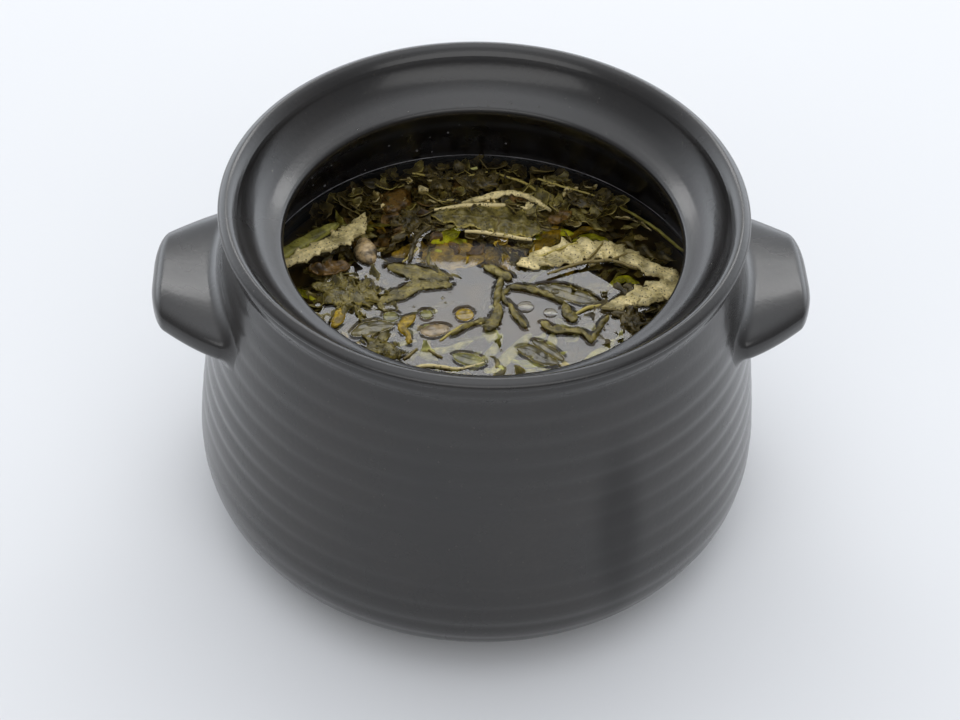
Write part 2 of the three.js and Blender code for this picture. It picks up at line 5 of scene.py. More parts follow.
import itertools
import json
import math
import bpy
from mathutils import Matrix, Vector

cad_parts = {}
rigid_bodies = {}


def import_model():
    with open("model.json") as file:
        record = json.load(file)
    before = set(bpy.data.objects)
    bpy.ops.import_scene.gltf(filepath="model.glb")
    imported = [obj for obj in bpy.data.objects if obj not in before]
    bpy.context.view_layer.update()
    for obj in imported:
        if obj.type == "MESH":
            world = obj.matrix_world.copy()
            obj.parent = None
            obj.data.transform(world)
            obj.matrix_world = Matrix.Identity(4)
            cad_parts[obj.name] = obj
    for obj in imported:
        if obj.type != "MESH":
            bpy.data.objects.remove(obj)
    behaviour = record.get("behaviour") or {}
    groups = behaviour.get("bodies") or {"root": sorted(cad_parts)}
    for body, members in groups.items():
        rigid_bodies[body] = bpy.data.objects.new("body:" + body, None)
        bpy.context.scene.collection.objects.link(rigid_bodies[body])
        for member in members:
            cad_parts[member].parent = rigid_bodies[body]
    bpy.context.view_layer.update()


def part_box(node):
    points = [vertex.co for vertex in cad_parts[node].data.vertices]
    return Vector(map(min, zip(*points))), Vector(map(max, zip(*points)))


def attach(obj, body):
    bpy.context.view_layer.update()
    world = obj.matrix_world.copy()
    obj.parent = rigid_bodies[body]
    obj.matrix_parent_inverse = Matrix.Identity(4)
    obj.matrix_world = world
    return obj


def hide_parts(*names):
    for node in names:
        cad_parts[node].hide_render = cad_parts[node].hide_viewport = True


bl_info = {
    "name": "Pot of Stewed Greens",
    "version": (1, 0, 0),
    "blender": (4, 5, 0),
    "location": "View3D > Sidebar > Stew Pot",
    "description": "Builds a glazed two-handled pot with wilted greens floating in dark broth",
    "category": "Object",
}

import bpy
import numpy as np
from bpy.props import FloatProperty, FloatVectorProperty, IntProperty, PointerProperty
from mathutils import Matrix, Vector
from mathutils.kdtree import KDTree

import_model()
POT_LOW, POT_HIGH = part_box("pot")
BROTH_LOW, BROTH_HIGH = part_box("broth")

MM = 0.001
BODY = "root"


# ------------------------------------------------------------------- settings

class StewPotSizes(bpy.types.PropertyGroup):
    """Sizes of the turned pot and its two handles."""

    base_radius: FloatProperty(
        name="Base radius", description="Flat base it stands on", default=0.0655, unit="LENGTH")
    belly_radius: FloatProperty(
        name="Belly radius", description="Widest part of the wall", default=POT_HIGH.y, unit="LENGTH")
    belly_height: FloatProperty(
        name="Belly height", description="Height of the widest part", default=0.042, unit="LENGTH")
    neck_radius: FloatProperty(
        name="Neck radius", description="Crease under the lip", default=0.1119, unit="LENGTH")
    neck_height: FloatProperty(
        name="Neck height", description="Height of that crease", default=0.155, unit="LENGTH")
    rim_radius: FloatProperty(
        name="Rim radius", description="Outer edge of the lip", default=0.115, unit="LENGTH")
    crest_height: FloatProperty(
        name="Crest height", description="Top of the lip", default=POT_HIGH.z, unit="LENGTH")
    opening_radius: FloatProperty(
        name="Opening radius", description="Narrowest part of the mouth", default=0.0875, unit="LENGTH")
    opening_height: FloatProperty(
        name="Opening height", description="Height of that edge", default=0.1456, unit="LENGTH")
    floor_height: FloatProperty(
        name="Floor height", description="Inner floor of the pot", default=0.012, unit="LENGTH")
    lug_reach: FloatProperty(
        name="Handle reach", description="From the axis to the tip of a handle",
        default=POT_HIGH.x, unit="LENGTH")
    lug_top: FloatProperty(
        name="Handle top", description="Height of the handles' flat tops", default=0.1283, unit="LENGTH")
    lug_fillet: FloatProperty(
        name="Handle fillet", description="Soft valley between handle and wall", default=0.006,
        unit="LENGTH")
    ring_pitch: FloatProperty(
        name="Ring pitch", description="Height of one turn of the throwing rings", default=0.011,
        unit="LENGTH")
    ring_depth: FloatProperty(
        name="Ring depth", description="How far a throwing ring stands out", default=0.0001,
        unit="LENGTH")
    glaze: FloatVectorProperty(
        name="Glaze", description="Charcoal glaze", subtype="COLOR", size=3, min=0, max=1,
        default=(0.0120, 0.0113, 0.0110))
    glaze_thin: FloatVectorProperty(
        name="Thin glaze", description="Where the glaze ran thin", subtype="COLOR", size=3,
        min=0, max=1, default=(0.021, 0.018, 0.016))


class StewBrothLook(bpy.types.PropertyGroup):
    """Level, colour and surface of the broth."""

    level: FloatProperty(
        name="Level", description="Height of the broth", default=BROTH_HIGH.z, unit="LENGTH")
    tint: FloatVectorProperty(
        name="Tint", description="Colour of light that has passed the surface", subtype="COLOR", size=3,
        min=0, max=1, default=(0.97, 0.88, 0.58))
    depths: FloatVectorProperty(
        name="Depths", description="Colour of the broth where it is too deep to see into",
        subtype="COLOR", size=3, min=0, max=1, default=(0.060, 0.036, 0.007))
    sight: FloatProperty(
        name="Sight", description="Depth at which sunken greens have dimmed to a third", default=0.0065,
        unit="LENGTH")
    clear_depth: FloatProperty(
        name="Clear depth", description="How far down the broth can be seen into", default=0.013,
        unit="LENGTH")
    wall_climb: FloatProperty(
        name="Climb at the wall", description="Rise of the broth at the pot's wall", default=0.0014,
        unit="LENGTH")
    leaf_climb: FloatProperty(
        name="Climb at leaves", description="Rise of the broth round what floats", default=0.00042,
        unit="LENGTH")


class StewGreensLook(bpy.types.PropertyGroup):
    """Colours and crumple of the greens."""

    pale: FloatVectorProperty(
        name="Pale leaf", description="Bleached ribs and leaves", subtype="COLOR", size=3,
        min=0, max=1, default=(0.60, 0.49, 0.23))
    stalk: FloatVectorProperty(
        name="Green stalk", description="Stalks still green", subtype="COLOR", size=3,
        min=0, max=1, default=(0.24, 0.22, 0.045))
    wilted: FloatVectorProperty(
        name="Wilted leaf", description="Olive-brown wilted leaves", subtype="COLOR", size=3,
        min=0, max=1, default=(0.150, 0.120, 0.030))
    dark: FloatVectorProperty(
        name="Dark leaf", description="Darkest leaves", subtype="COLOR", size=3,
        min=0, max=1, default=(0.070, 0.052, 0.015))
    brown: FloatVectorProperty(
        name="Brown leaf", description="Orange-brown leaves", subtype="COLOR", size=3,
        min=0, max=1, default=(0.115, 0.062, 0.013))
    amber: FloatVectorProperty(
        name="Amber leaf", description="Amber leaf tips", subtype="COLOR", size=3,
        min=0, max=1, default=(0.38, 0.25, 0.014))
    pink: FloatVectorProperty(
        name="Pinkish lump", description="Pinkish pale lumps", subtype="COLOR", size=3,
        min=0, max=1, default=(0.33, 0.235, 0.115))
    glow: FloatVectorProperty(
        name="Bright leaf", description="Yellow-green leaves under the surface", subtype="COLOR", size=3,
        min=0, max=1, default=(0.52, 0.54, 0.015))
    straw: FloatVectorProperty(
        name="Straw stalk", description="Pale yellow stalks under the surface", subtype="COLOR", size=3,
        min=0, max=1, default=(0.50, 0.48, 0.15))
    crumple: FloatProperty(
        name="Crumple", description="Height of the fine folds", default=0.00042, unit="LENGTH")
    cell: FloatProperty(
        name="Mesh cell", description="Spacing of the leaf meshes", default=0.0005, unit="LENGTH")
    seed: IntProperty(
        name="Seed", description="Choice of the random folds", default=7)


class StewStageLook(bpy.types.PropertyGroup):
    """Floor, sky and softbox."""

    floor: FloatVectorProperty(
        name="Floor", description="Pale floor", subtype="COLOR", size=3, min=0, max=1,
        default=(0.70, 0.705, 0.715))
    sky: FloatProperty(
        name="Sky", description="Strength of the even light all round", default=1.0, min=0)
    softbox_power: FloatProperty(
        name="Softbox power", description="Overhead softbox, in watts", default=16.5, min=0)
    front_power: FloatProperty(
        name="Front panel power", description="Long low panel in front, in watts", default=12, min=0)
    softbox_height: FloatProperty(
        name="Softbox height", description="Above the floor", default=1.6, unit="LENGTH")
    softbox_far: FloatProperty(
        name="Softbox far edge", description="How far behind the pot it reaches", default=1.70,
        unit="LENGTH")


# ---------------------------------------------------------------- mesh helpers

def draw_from(seed):
    """A repeatable draw between 0 and 1, the one that shaped the solids."""
    state = (seed * 2654435761 + 12345) % 2**32

    def draw():
        nonlocal state
        state = (state * 1664525 + 1013904223) % 2**32
        return state / 2**32

    return draw


def noise_at(points, size, seed=0):
    """Smooth noise between -1 and 1, with features about size apart."""
    cell = np.asarray(points, float) / size
    corner = np.floor(cell)
    part = cell - corner
    part = part * part * (3 - 2 * part)
    corner = corner.astype(np.int64)
    total = np.zeros(cell.shape[:-1])
    for step in itertools.product((0, 1), repeat=3):
        key = seed * 97 + 11
        weight = 1
        for axis, prime in enumerate((73856093, 19349663, 83492791)):
            key = key ^ ((corner[..., axis] + step[axis]) * prime)
            weight = weight * (part[..., axis] if step[axis] else 1 - part[..., axis])
        key = (key ^ (key >> 13)) * 1274126177 & 0xFFFFFFFF
        total += weight * (((key ^ (key >> 16)) & 0xFFFF) / 32767.5 - 1)
    return total


def folds(points, size, seed=0):
    """Crumpled relief between about -1 and 1: broad swells with sharper creases on them."""
    broad = noise_at(points, size, seed)
    creases = 1 - 2 * np.abs(noise_at(points, size * 0.62, seed + 5))
    fine = noise_at(points, size * 0.27, seed + 9)
    return 0.5 * broad + 0.38 * creases + 0.2 * fine


def grid_faces(rows, cols, start=0, closed=False):
    """Quads of a grid of points kept row by row; closed joins the last column to the first."""
    i, j = np.meshgrid(np.arange(rows - 1), np.arange(cols if closed else cols - 1), indexing="ij")
    k = (j + 1) % cols
    quads = np.stack([i * cols + j, (i + 1) * cols + j, (i + 1) * cols + k, i * cols + k], -1)
    return (quads.reshape(-1, 4) + start).tolist()


def make_piece(name, points, faces, material, uv=None):
    """An object at the origin from points in millimetres; uv is one pair for each point."""
    mesh = bpy.data.meshes.new(name)
    mesh.from_pydata((np.asarray(points, float) * MM).tolist(), [], faces)
    mesh.validate()
    if uv is not None:
        layer = mesh.uv_layers.new(name="leaf")
        corner = np.zeros(len(mesh.loops), np.int32)
        mesh.loops.foreach_get("vertex_index", corner)
        layer.data.foreach_set("uv", np.asarray(uv, np.float32)[corner].ravel())
    mesh.polygons.foreach_set("use_smooth", [True] * len(mesh.polygons))
    mesh.materials.append(material)
    made = bpy.data.objects.new(name, mesh)
    bpy.context.scene.collection.objects.link(made)
    return made


def settle(piece, slot, *nodes):
    """Ties a piece to the pot's body and hides the nodes it stands for; its record slot is not used."""
    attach(piece, BODY)
    if nodes:
        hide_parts(*nodes)


def curve_at(spine, t):
    """Points of a smooth curve through the spine's points, at t from 0 to 1."""
    spine = np.asarray(spine, float)
    ends = (2 * spine[0] - spine[1], 2 * spine[-1] - spine[-2])
    knots = np.vstack([ends[0], spine, ends[1]])
    place = np.clip(t, 0, 1) * (len(spine) - 1)
    span = np.minimum(place.astype(int), len(spine) - 2)
    w = (place - span)[:, None]
    p0, p1, p2, p3 = (knots[span + k] for k in range(4))
    d0, d1, d2 = (np.linalg.norm(b - a, axis=1)[:, None] ** 0.5 for a, b in ((p0, p1), (p1, p2), (p2, p3)))
    m1 = ((p1 - p0) / d0 - (p2 - p0) / (d0 + d1) + (p2 - p1) / d1) * d1
    m2 = ((p2 - p1) / d1 - (p3 - p1) / (d1 + d2) + (p3 - p2) / d2) * d1
    return p1 + w * (m1 + w * (3 * (p2 - p1) - 2 * m1 - m2 + w * (2 * (p1 - p2) + m1 + m2)))


def closed_tube(rings):
    """Points and outward faces of a skin over rings of points, shut by a fan at both ends."""
    rings = np.asarray(rings, float)
    rows, cols = rings.shape[:2]
    points = np.vstack([rings.reshape(-1, 3), rings[0].mean(0), rings[-1].mean(0)])
    faces = grid_faces(rows, cols, closed=True)
    first, last = rows * cols, rows * cols + 1
    base = (rows - 1) * cols
    for j in range(cols):
        k = (j + 1) % cols
        faces.append([first, j, k])
        faces.append([last, base + k, base + j])
    sample = sum(
        np.einsum("ij,ij->i", points[[f[0] for f in faces]],
                  np.cross(points[[f[1] for f in faces]], points[[f[2] for f in faces]])))
    return points, faces if sample > 0 else [face[::-1] for face in faces]


def joined(parts):
    """One list of points and faces from several."""
    points, faces, shift = [], [], 0
    for part_points, part_faces in parts:
        points.append(part_points)
        faces.extend([[v + shift for v in face] for face in part_faces])
        shift += len(part_points)
    return np.vstack(points), faces


# ------------------------------------------------------------- material helpers

def node(tree, kind, inputs=None, **settings):
    """A shader or geometry node with its settings made and its inputs set or linked."""
    made = tree.nodes.new(kind)
    for key, value in settings.items():
        setattr(made, key, value)
    for key, value in (inputs or {}).items():
        socket = made.inputs[key]
        if isinstance(value, bpy.types.NodeSocket):
            tree.links.new(value, socket)
        else:
            socket.default_value = value
    return made


def blank_material(name):
    """A material with only its output and a Principled shader, and that shader."""
    material = bpy.data.materials.new(name)
    material.use_nodes = True
    tree = material.node_tree
    tree.nodes.clear()
    shader = tree.nodes.new("ShaderNodeBsdfPrincipled")
    output = tree.nodes.new("ShaderNodeOutputMaterial")
    tree.links.new(shader.outputs["BSDF"], output.inputs["Surface"])
    return material, tree, shader


def rgba(colour, gain=1.0):
    return tuple(min(1.0, c * gain) for c in colour) + (1.0,)


def blend_of(tree, mask, low, high):
    """Colour running from low to high as mask goes from 0 to 1."""
    mixed = node(tree, "ShaderNodeMix", {0: mask, 6: low, 7: high}, data_type="RGBA")
    return mixed.outputs[2]


def ranged(tree, value, low, high, start=0.0, end=1.0):
    """value between start and end, carried over to low and high."""
    moved = node(tree, "ShaderNodeMapRange", {
        "Value": value, "From Min": start, "From Max": end, "To Min": low, "To Max": high})
    return moved.outputs["Result"]


def shared_group(name, inputs, outputs):
    """A shader node group with its sockets, and its two end nodes."""
    group = bpy.data.node_groups.new(name, "ShaderNodeTree")
    for label, kind, default in inputs:
        socket = group.interface.new_socket(label, in_out="INPUT", socket_type=kind)
        socket.default_value = default
    for label, kind in outputs:
        group.interface.new_socket(label, in_out="OUTPUT", socket_type=kind)
    return group, group.nodes.new("NodeGroupInput").outputs, group.nodes.new("NodeGroupOutput").inputs


def use_group(tree, name, **inputs):
    """The named shared group placed in a material, with this material's own values."""
    made = tree.nodes.new("ShaderNodeGroup")
    made.node_tree = bpy.data.node_groups[name]
    for key, value in inputs.items():
        socket = made.inputs[key.replace("_", " ")]
        if isinstance(value, bpy.types.NodeSocket):
            tree.links.new(value, socket)
        else:
            socket.default_value = value
    return made.outputs


def build_shared_groups():
    """Mottle: soft patches. Specks: sharp dots. Both on object coordinates in metres."""
    group, given, out = shared_group(
        "Mottle",
        [("Size", "NodeSocketFloat", 0.01), ("Contrast", "NodeSocketFloat", 2.0),
         ("Roughness", "NodeSocketFloat", 0.55)],
        [("Mask", "NodeSocketFloat")])
    place = node(group, "ShaderNodeTexCoord").outputs["Object"]
    scale = node(group, "ShaderNodeMath", {0: 1.0, 1: given["Size"]}, operation="DIVIDE").outputs[0]
    noise = node(group, "ShaderNodeTexNoise", {
        "Vector": place, "Scale": scale, "Detail": 4.0, "Roughness": given["Roughness"]})
    centred = node(group, "ShaderNodeMath", {0: noise.outputs["Fac"], 1: 0.5}, operation="SUBTRACT")
    pushed = node(group, "ShaderNodeMath", {
        0: centred.outputs[0], 1: given["Contrast"], 2: 0.5}, operation="MULTIPLY_ADD", use_clamp=True)
    group.links.new(pushed.outputs[0], out["Mask"])

    group, given, out = shared_group(
        "Specks",
        [("Spacing", "NodeSocketFloat", 0.002), ("Dot size", "NodeSocketFloat", 0.2),
         ("Share", "NodeSocketFloat", 0.5)],
        [("Mask", "NodeSocketFloat")])
    place = node(group, "ShaderNodeTexCoord").outputs["Object"]
    scale = node(group, "ShaderNodeMath", {0: 1.0, 1: given["Spacing"]}, operation="DIVIDE").outputs[0]
    cells = node(group, "ShaderNodeTexVoronoi", {"Vector": place, "Scale": scale, "Randomness": 1.0})
    near = node(group, "ShaderNodeMath", {
        0: cells.outputs["Distance"], 1: given["Dot size"]}, operation="LESS_THAN")
    pick = node(group, "ShaderNodeSeparateColor", {"Color": cells.outputs["Color"]})
    chosen = node(group, "ShaderNodeMath", {
        0: pick.outputs[0], 1: given["Share"]}, operation="LESS_THAN")
    both = node(group, "ShaderNodeMath", {0: near.outputs[0], 1: chosen.outputs[0]}, operation="MULTIPLY")
    group.links.new(both.outputs[0], out["Mask"])


def build_fibre_group():
    """Fibres: fine lines along a leaf, on the leaf's own map."""
    group, given, out = shared_group(
        "Fibres", [("Count", "NodeSocketFloat", 20.0), ("Contrast", "NodeSocketFloat", 2.0)],
        [("Mask", "NodeSocketFloat")])
    place = node(group, "ShaderNodeUVMap", uv_map="leaf").outputs["UV"]
    parts = node(group, "ShaderNodeSeparateXYZ", {0: place})
    along = node(group, "ShaderNodeMath", {0: parts.outputs["X"], 1: 3.0}, operation="MULTIPLY").outputs[0]
    across = node(group, "ShaderNodeMath", {
        0: parts.outputs["Y"], 1: given["Count"]}, operation="MULTIPLY").outputs[0]
    stretched = node(group, "ShaderNodeCombineXYZ", {0: along, 1: across}).outputs[0]
    noise = node(group, "ShaderNodeTexNoise", {
        "Vector": stretched, "Scale": 1.0, "Detail": 2.0, "Distortion": 0.6})
    centred = node(group, "ShaderNodeMath", {0: noise.outputs["Fac"], 1: 0.5}, operation="SUBTRACT")
    pushed = node(group, "ShaderNodeMath", {
        0: centred.outputs[0], 1: given["Contrast"], 2: 0.4}, operation="MULTIPLY_ADD", use_clamp=True)
    group.links.new(pushed.outputs[0], out["Mask"])


def between(tree, value, start, end):
    """0 at start, 1 at end and a smooth ramp in between."""
    moved = node(tree, "ShaderNodeMapRange", {
        "Value": value, "From Min": start, "From Max": end, "To Min": 0.0, "To Max": 1.0},
        interpolation_type="SMOOTHSTEP")
    return moved.outputs["Result"]


def times(tree, first, second):
    return node(tree, "ShaderNodeMath", {0: first, 1: second}, operation="MULTIPLY").outputs[0]


def dark_belly_patch(tree, place):
    """Mask of a darker, rougher patch down the front of the belly, on the right."""
    middle = (0.057, -0.1125, 0.085)
    shifted = node(tree, "ShaderNodeVectorMath", {0: place, 1: middle}, operation="SUBTRACT").outputs[0]
    shrunk = node(tree, "ShaderNodeVectorMath", {0: shifted, 1: (55.0, 55.0, 12.5)}, operation="MULTIPLY")
    far = node(tree, "ShaderNodeVectorMath", {0: shrunk.outputs[0]}, operation="LENGTH").outputs["Value"]
    return between(tree, far, 1.0, 0.25)


def geometry_tree(name, inputs):
    """A geometry tree with its named inputs, the values they give and its output."""
    tree = bpy.data.node_groups.new(name, "GeometryNodeTree")
    tree.interface.new_socket("Geometry", in_out="INPUT", socket_type="NodeSocketGeometry")
    for label, kind, default in inputs:
        socket = tree.interface.new_socket(label, in_out="INPUT", socket_type=kind)
        if default is not None:
            socket.default_value = default
    tree.interface.new_socket("Geometry", in_out="OUTPUT", socket_type="NodeSocketGeometry")
    given = tree.nodes.new("NodeGroupInput").outputs
    return tree, given, tree.nodes.new("NodeGroupOutput").inputs["Geometry"]


def random_between(tree, low, high, seed, shift, kind="FLOAT"):
    """A random value or vector for each bit; shift keeps the draws apart."""
    first = 2 if kind == "FLOAT" else 0
    seeded = node(tree, "ShaderNodeMath", {0: seed, 1: float(shift)}, operation="ADD").outputs[0]
    made = node(tree, "FunctionNodeRandomValue", {
        first: low, first + 1: high, "Seed": seeded}, data_type=kind)
    return made.outputs[1 if kind == "FLOAT" else 0]


def build_scatter_tree():
    """Scatter: small bits strewn over a surface, each turned, sized and sunk at random."""
    tree, given, out = geometry_tree("Scatter", [
        ("Density", "NodeSocketFloat", 10000.0), ("Smallest", "NodeSocketFloat", 0.5),
        ("Largest", "NodeSocketFloat", 1.0), ("Tilt", "NodeSocketFloat", 0.3),
        ("Deepest", "NodeSocketFloat", 0.0), ("Seed", "NodeSocketInt", 1),
        ("Keep surface", "NodeSocketBool", False), ("Bits", "NodeSocketCollection", None),
        ("Material", "NodeSocketMaterial", None)])
    spots = node(tree, "GeometryNodeDistributePointsOnFaces", {
        "Mesh": given["Geometry"], "Density": given["Density"], "Seed": given["Seed"]})
    bits = node(tree, "GeometryNodeCollectionInfo", {
        "Collection": given["Bits"], "Separate Children": True, "Reset Children": True})
    lean = node(tree, "ShaderNodeCombineXYZ", {0: given["Tilt"], 1: given["Tilt"], 2: math.pi}).outputs[0]
    back = node(tree, "ShaderNodeVectorMath", {0: lean, 1: (-1, -1, -1)}, operation="MULTIPLY").outputs[0]
    turn = random_between(tree, back, lean, given["Seed"], 11, "FLOAT_VECTOR")
    turned = node(tree, "FunctionNodeRotateRotation", {
        "Rotation": spots.outputs["Rotation"],
        "Rotate By": node(tree, "FunctionNodeEulerToRotation", {0: turn}).outputs[0]},
        rotation_space="LOCAL")
    size = random_between(tree, given["Smallest"], given["Largest"], given["Seed"], 12)
    laid = node(tree, "GeometryNodeInstanceOnPoints", {
        "Points": spots.outputs["Points"], "Instance": bits.outputs["Instances"], "Pick Instance": True,
        "Rotation": turned.outputs[0], "Scale": size})
    down = node(tree, "ShaderNodeMath", {0: given["Deepest"], 1: -1.0}, operation="MULTIPLY").outputs[0]
    sink = random_between(tree, down, 0.0, given["Seed"], 13)
    sunk = node(tree, "GeometryNodeTranslateInstances", {
        "Instances": laid.outputs[0],
        "Translation": node(tree, "ShaderNodeCombineXYZ", {2: sink}).outputs[0],
        "Local Space": False})
    real = node(tree, "GeometryNodeRealizeInstances", {"Geometry": sunk.outputs[0]}).outputs[0]
    kept = node(tree, "GeometryNodeSwitch", {"Switch": given["Keep surface"]}, input_type="GEOMETRY")
    tree.links.new(given["Geometry"], kept.inputs["True"])
    whole = node(tree, "GeometryNodeJoinGeometry")
    tree.links.new(real, whole.inputs[0])
    tree.links.new(kept.outputs[0], whole.inputs[0])
    tree.links.new(node(tree, "GeometryNodeSetMaterial", {
        "Geometry": whole.outputs[0], "Material": given["Material"]}).outputs[0], out)


def build_stem_tree():
    """Stems: round, slightly knotty stems along drawn paths, as thick as each path says."""
    tree, given, out = geometry_tree("Stems", [
        ("Step", "NodeSocketFloat", 0.0006), ("Wander", "NodeSocketFloat", 0.0003),
        ("Seed", "NodeSocketInt", 1), ("Material", "NodeSocketMaterial", None)])
    path = node(tree, "GeometryNodeMeshToCurve", {"Mesh": given["Geometry"]}).outputs[0]
    thick = node(tree, "GeometryNodeInputNamedAttribute", {"Name": "thickness"}, data_type="FLOAT")
    sized = node(tree, "GeometryNodeSetCurveRadius", {"Curve": path, "Radius": thick.outputs[0]}).outputs[0]
    fine = node(tree, "GeometryNodeResampleCurve", {"Curve": sized, "Length": given["Step"]}, mode="LENGTH")
    noise = node(tree, "ShaderNodeTexNoise", {
        "Scale": 220.0, "Detail": 2.0, "W": given["Seed"]}, noise_dimensions="4D").outputs["Color"]
    centred = node(
        tree, "ShaderNodeVectorMath", {0: noise, 1: (0.5, 0.5, 0.5)}, operation="SUBTRACT").outputs[0]
    pushed = node(tree, "ShaderNodeVectorMath", {0: centred, "Scale": given["Wander"]}, operation="SCALE")
    moved = node(tree, "GeometryNodeSetPosition", {"Geometry": fine.outputs[0], "Offset": pushed.outputs[0]})
    ring = node(tree, "GeometryNodeCurvePrimitiveCircle", {"Resolution": 8, "Radius": 1.0}).outputs[0]
    skin = node(tree, "GeometryNodeCurveToMesh", {
        "Curve": moved.outputs[0], "Profile Curve": ring, "Fill Caps": True,
        "Scale": node(tree, "GeometryNodeInputRadius").outputs[0]})
    real = node(tree, "GeometryNodeRealizeInstances", {"Geometry": skin.outputs[0]}).outputs[0]
    tree.links.new(node(tree, "GeometryNodeSetMaterial", {
        "Geometry": real, "Material": given["Material"]}).outputs[0], out)


def grown(name, base, tree_name, **values):
    """A plain piece from what a geometry tree makes of the base, which is used up."""
    tree = bpy.data.node_groups[tree_name]
    modifier = base.modifiers.new(tree_name, "NODES")
    modifier.node_group = tree
    for item in tree.interface.items_tree:
        key = item.name.replace(" ", "_")
        if item.in_out == "INPUT" and key in values:
            modifier[item.identifier] = values[key]
    bpy.context.view_layer.update()
    shaped = base.evaluated_get(bpy.context.evaluated_depsgraph_get())
    mesh = bpy.data.meshes.new_from_object(shaped)
    bpy.data.objects.remove(base)
    if not mesh.polygons:
        raise RuntimeError(f"{name} came out empty")
    mesh.polygons.foreach_set("use_smooth", [True] * len(mesh.polygons))
    piece = bpy.data.objects.new(name, mesh)
    bpy.context.scene.collection.objects.link(piece)
    return piece


def bits_of(name, shapes):
    """A collection of little bits for the Scatter tree, from lists of points and faces."""
    kept = bpy.data.collections.new(name)
    for i, (points, faces, uv) in enumerate(shapes):
        bit = make_piece(f"{name}_{i}", points, faces, blank_material(f"{name} {i}")[0], uv)
        bpy.context.scene.collection.objects.unlink(bit)
        kept.objects.link(bit)
    return kept


def clear_bits(kept):
    for bit in list(kept.objects):
        bpy.data.objects.remove(bit)
    bpy.data.collections.remove(kept)


def glaze_material(sizes):
    """Charcoal satin glaze: nearly black, thinner and warmer in patches, with fine pits.
    Painted shade: the inner wall below the mouth, the inner floor, the underside and the lowest few
    millimetres of the outside are made nearly black."""
    material, tree, shader = blank_material("charcoal glaze")
    place = node(tree, "ShaderNodeTexCoord").outputs["Object"]
    height = node(tree, "ShaderNodeSeparateXYZ", {0: place}).outputs["Z"]
    flat = node(
        tree, "ShaderNodeVectorMath", {0: place, 1: (1.0, 1.0, 0.0)}, operation="MULTIPLY").outputs[0]
    radius = node(tree, "ShaderNodeVectorMath", {0: flat}, operation="LENGTH").outputs["Value"]
    # Painted shade: mask of the inside below the mouth and of the underside, where the glaze colour is made
    # nearly black.
    inner = times(tree, between(tree, radius, 0.1075, 0.1055), between(tree, height, 0.1452, 0.1440))
    run = dark_belly_patch(tree, place)
    patches = use_group(tree, "Mottle", Size=0.05, Contrast=2.2)["Mask"]
    grain = use_group(tree, "Mottle", Size=0.0022, Contrast=2.4)["Mask"]
    pits = use_group(tree, "Specks", Spacing=0.0045, Dot_size=0.09, Share=0.5)["Mask"]
    body = blend_of(tree, patches, rgba(sizes.glaze), rgba(sizes.glaze_thin))
    grained = blend_of(tree, ranged(tree, grain, 0.0, 0.35), body, rgba(sizes.glaze, 0.45))
    pitted = blend_of(tree, pits, grained, rgba(sizes.glaze_thin, 1.6))
    # Darker, rougher patch down the front of the belly, on the right.
    running = blend_of(tree, run, pitted, (0.003, 0.0020, 0.0015, 1.0))
    # Painted shade laid over the glaze colour inside the pot and under it.
    dark = blend_of(tree, inner, running, (0.0035, 0.0022, 0.0020, 1.0))
    tree.links.new(dark, shader.inputs["Base Color"])
    satin = ranged(tree, patches, 0.24, 0.31)
    tree.links.new(
        node(tree, "ShaderNodeMath", {0: run, 1: 0.3, 2: satin}, operation="MULTIPLY_ADD").outputs[0],
        shader.inputs["Roughness"])
    relief = node(tree, "ShaderNodeMath", {0: grain, 1: pits}, operation="SUBTRACT")
    bump = node(tree, "ShaderNodeBump", {
        "Height": relief.outputs[0], "Strength": 0.35, "Distance": 0.00008})
    tree.links.new(bump.outputs["Normal"], shader.inputs["Normal"])
    shader.inputs["IOR"].default_value = 1.5
    shader.inputs["Coat Weight"].default_value = 0.3
    shader.inputs["Coat Roughness"].default_value = 0.12
    return material


# ------------------------------------------------------------------------ pot

BELLY_ROUNDNESS = 0.72
SHOULDER_POWER = 1.23
POT_SEGMENTS = 288
LUG_AROUND = 144


def pot_sizes():
    """The pot's sizes in millimetres, by name."""
    sizes = bpy.context.scene.stew_pot
    return {key: getattr(sizes, key) / MM for key in (
        "base_radius", "belly_radius", "belly_height", "neck_radius", "neck_height", "rim_radius",
        "crest_height", "opening_radius", "opening_height", "floor_height", "lug_reach", "lug_top",
        "lug_fillet", "ring_pitch", "ring_depth")}


def outer_wall(size):
    """Radius and height from the edge of the flat base to the crease under the lip."""
    turn = np.linspace(np.pi / 2, 0, 60)
    swell = size["belly_radius"] - size["base_radius"]
    low = np.stack([
        size["base_radius"] + swell * np.cos(turn) ** BELLY_ROUNDNESS,
        size["belly_height"] * (1 - np.sin(turn) ** BELLY_ROUNDNESS)], 1)
    up = np.linspace(0, 1, 96)[1:]
    high = np.stack([
        size["belly_radius"] - (size["belly_radius"] - size["neck_radius"]) * up ** SHOULDER_POWER,
        size["belly_height"] + (size["neck_height"] - size["belly_height"]) * up], 1)
    return np.vstack([low, high])


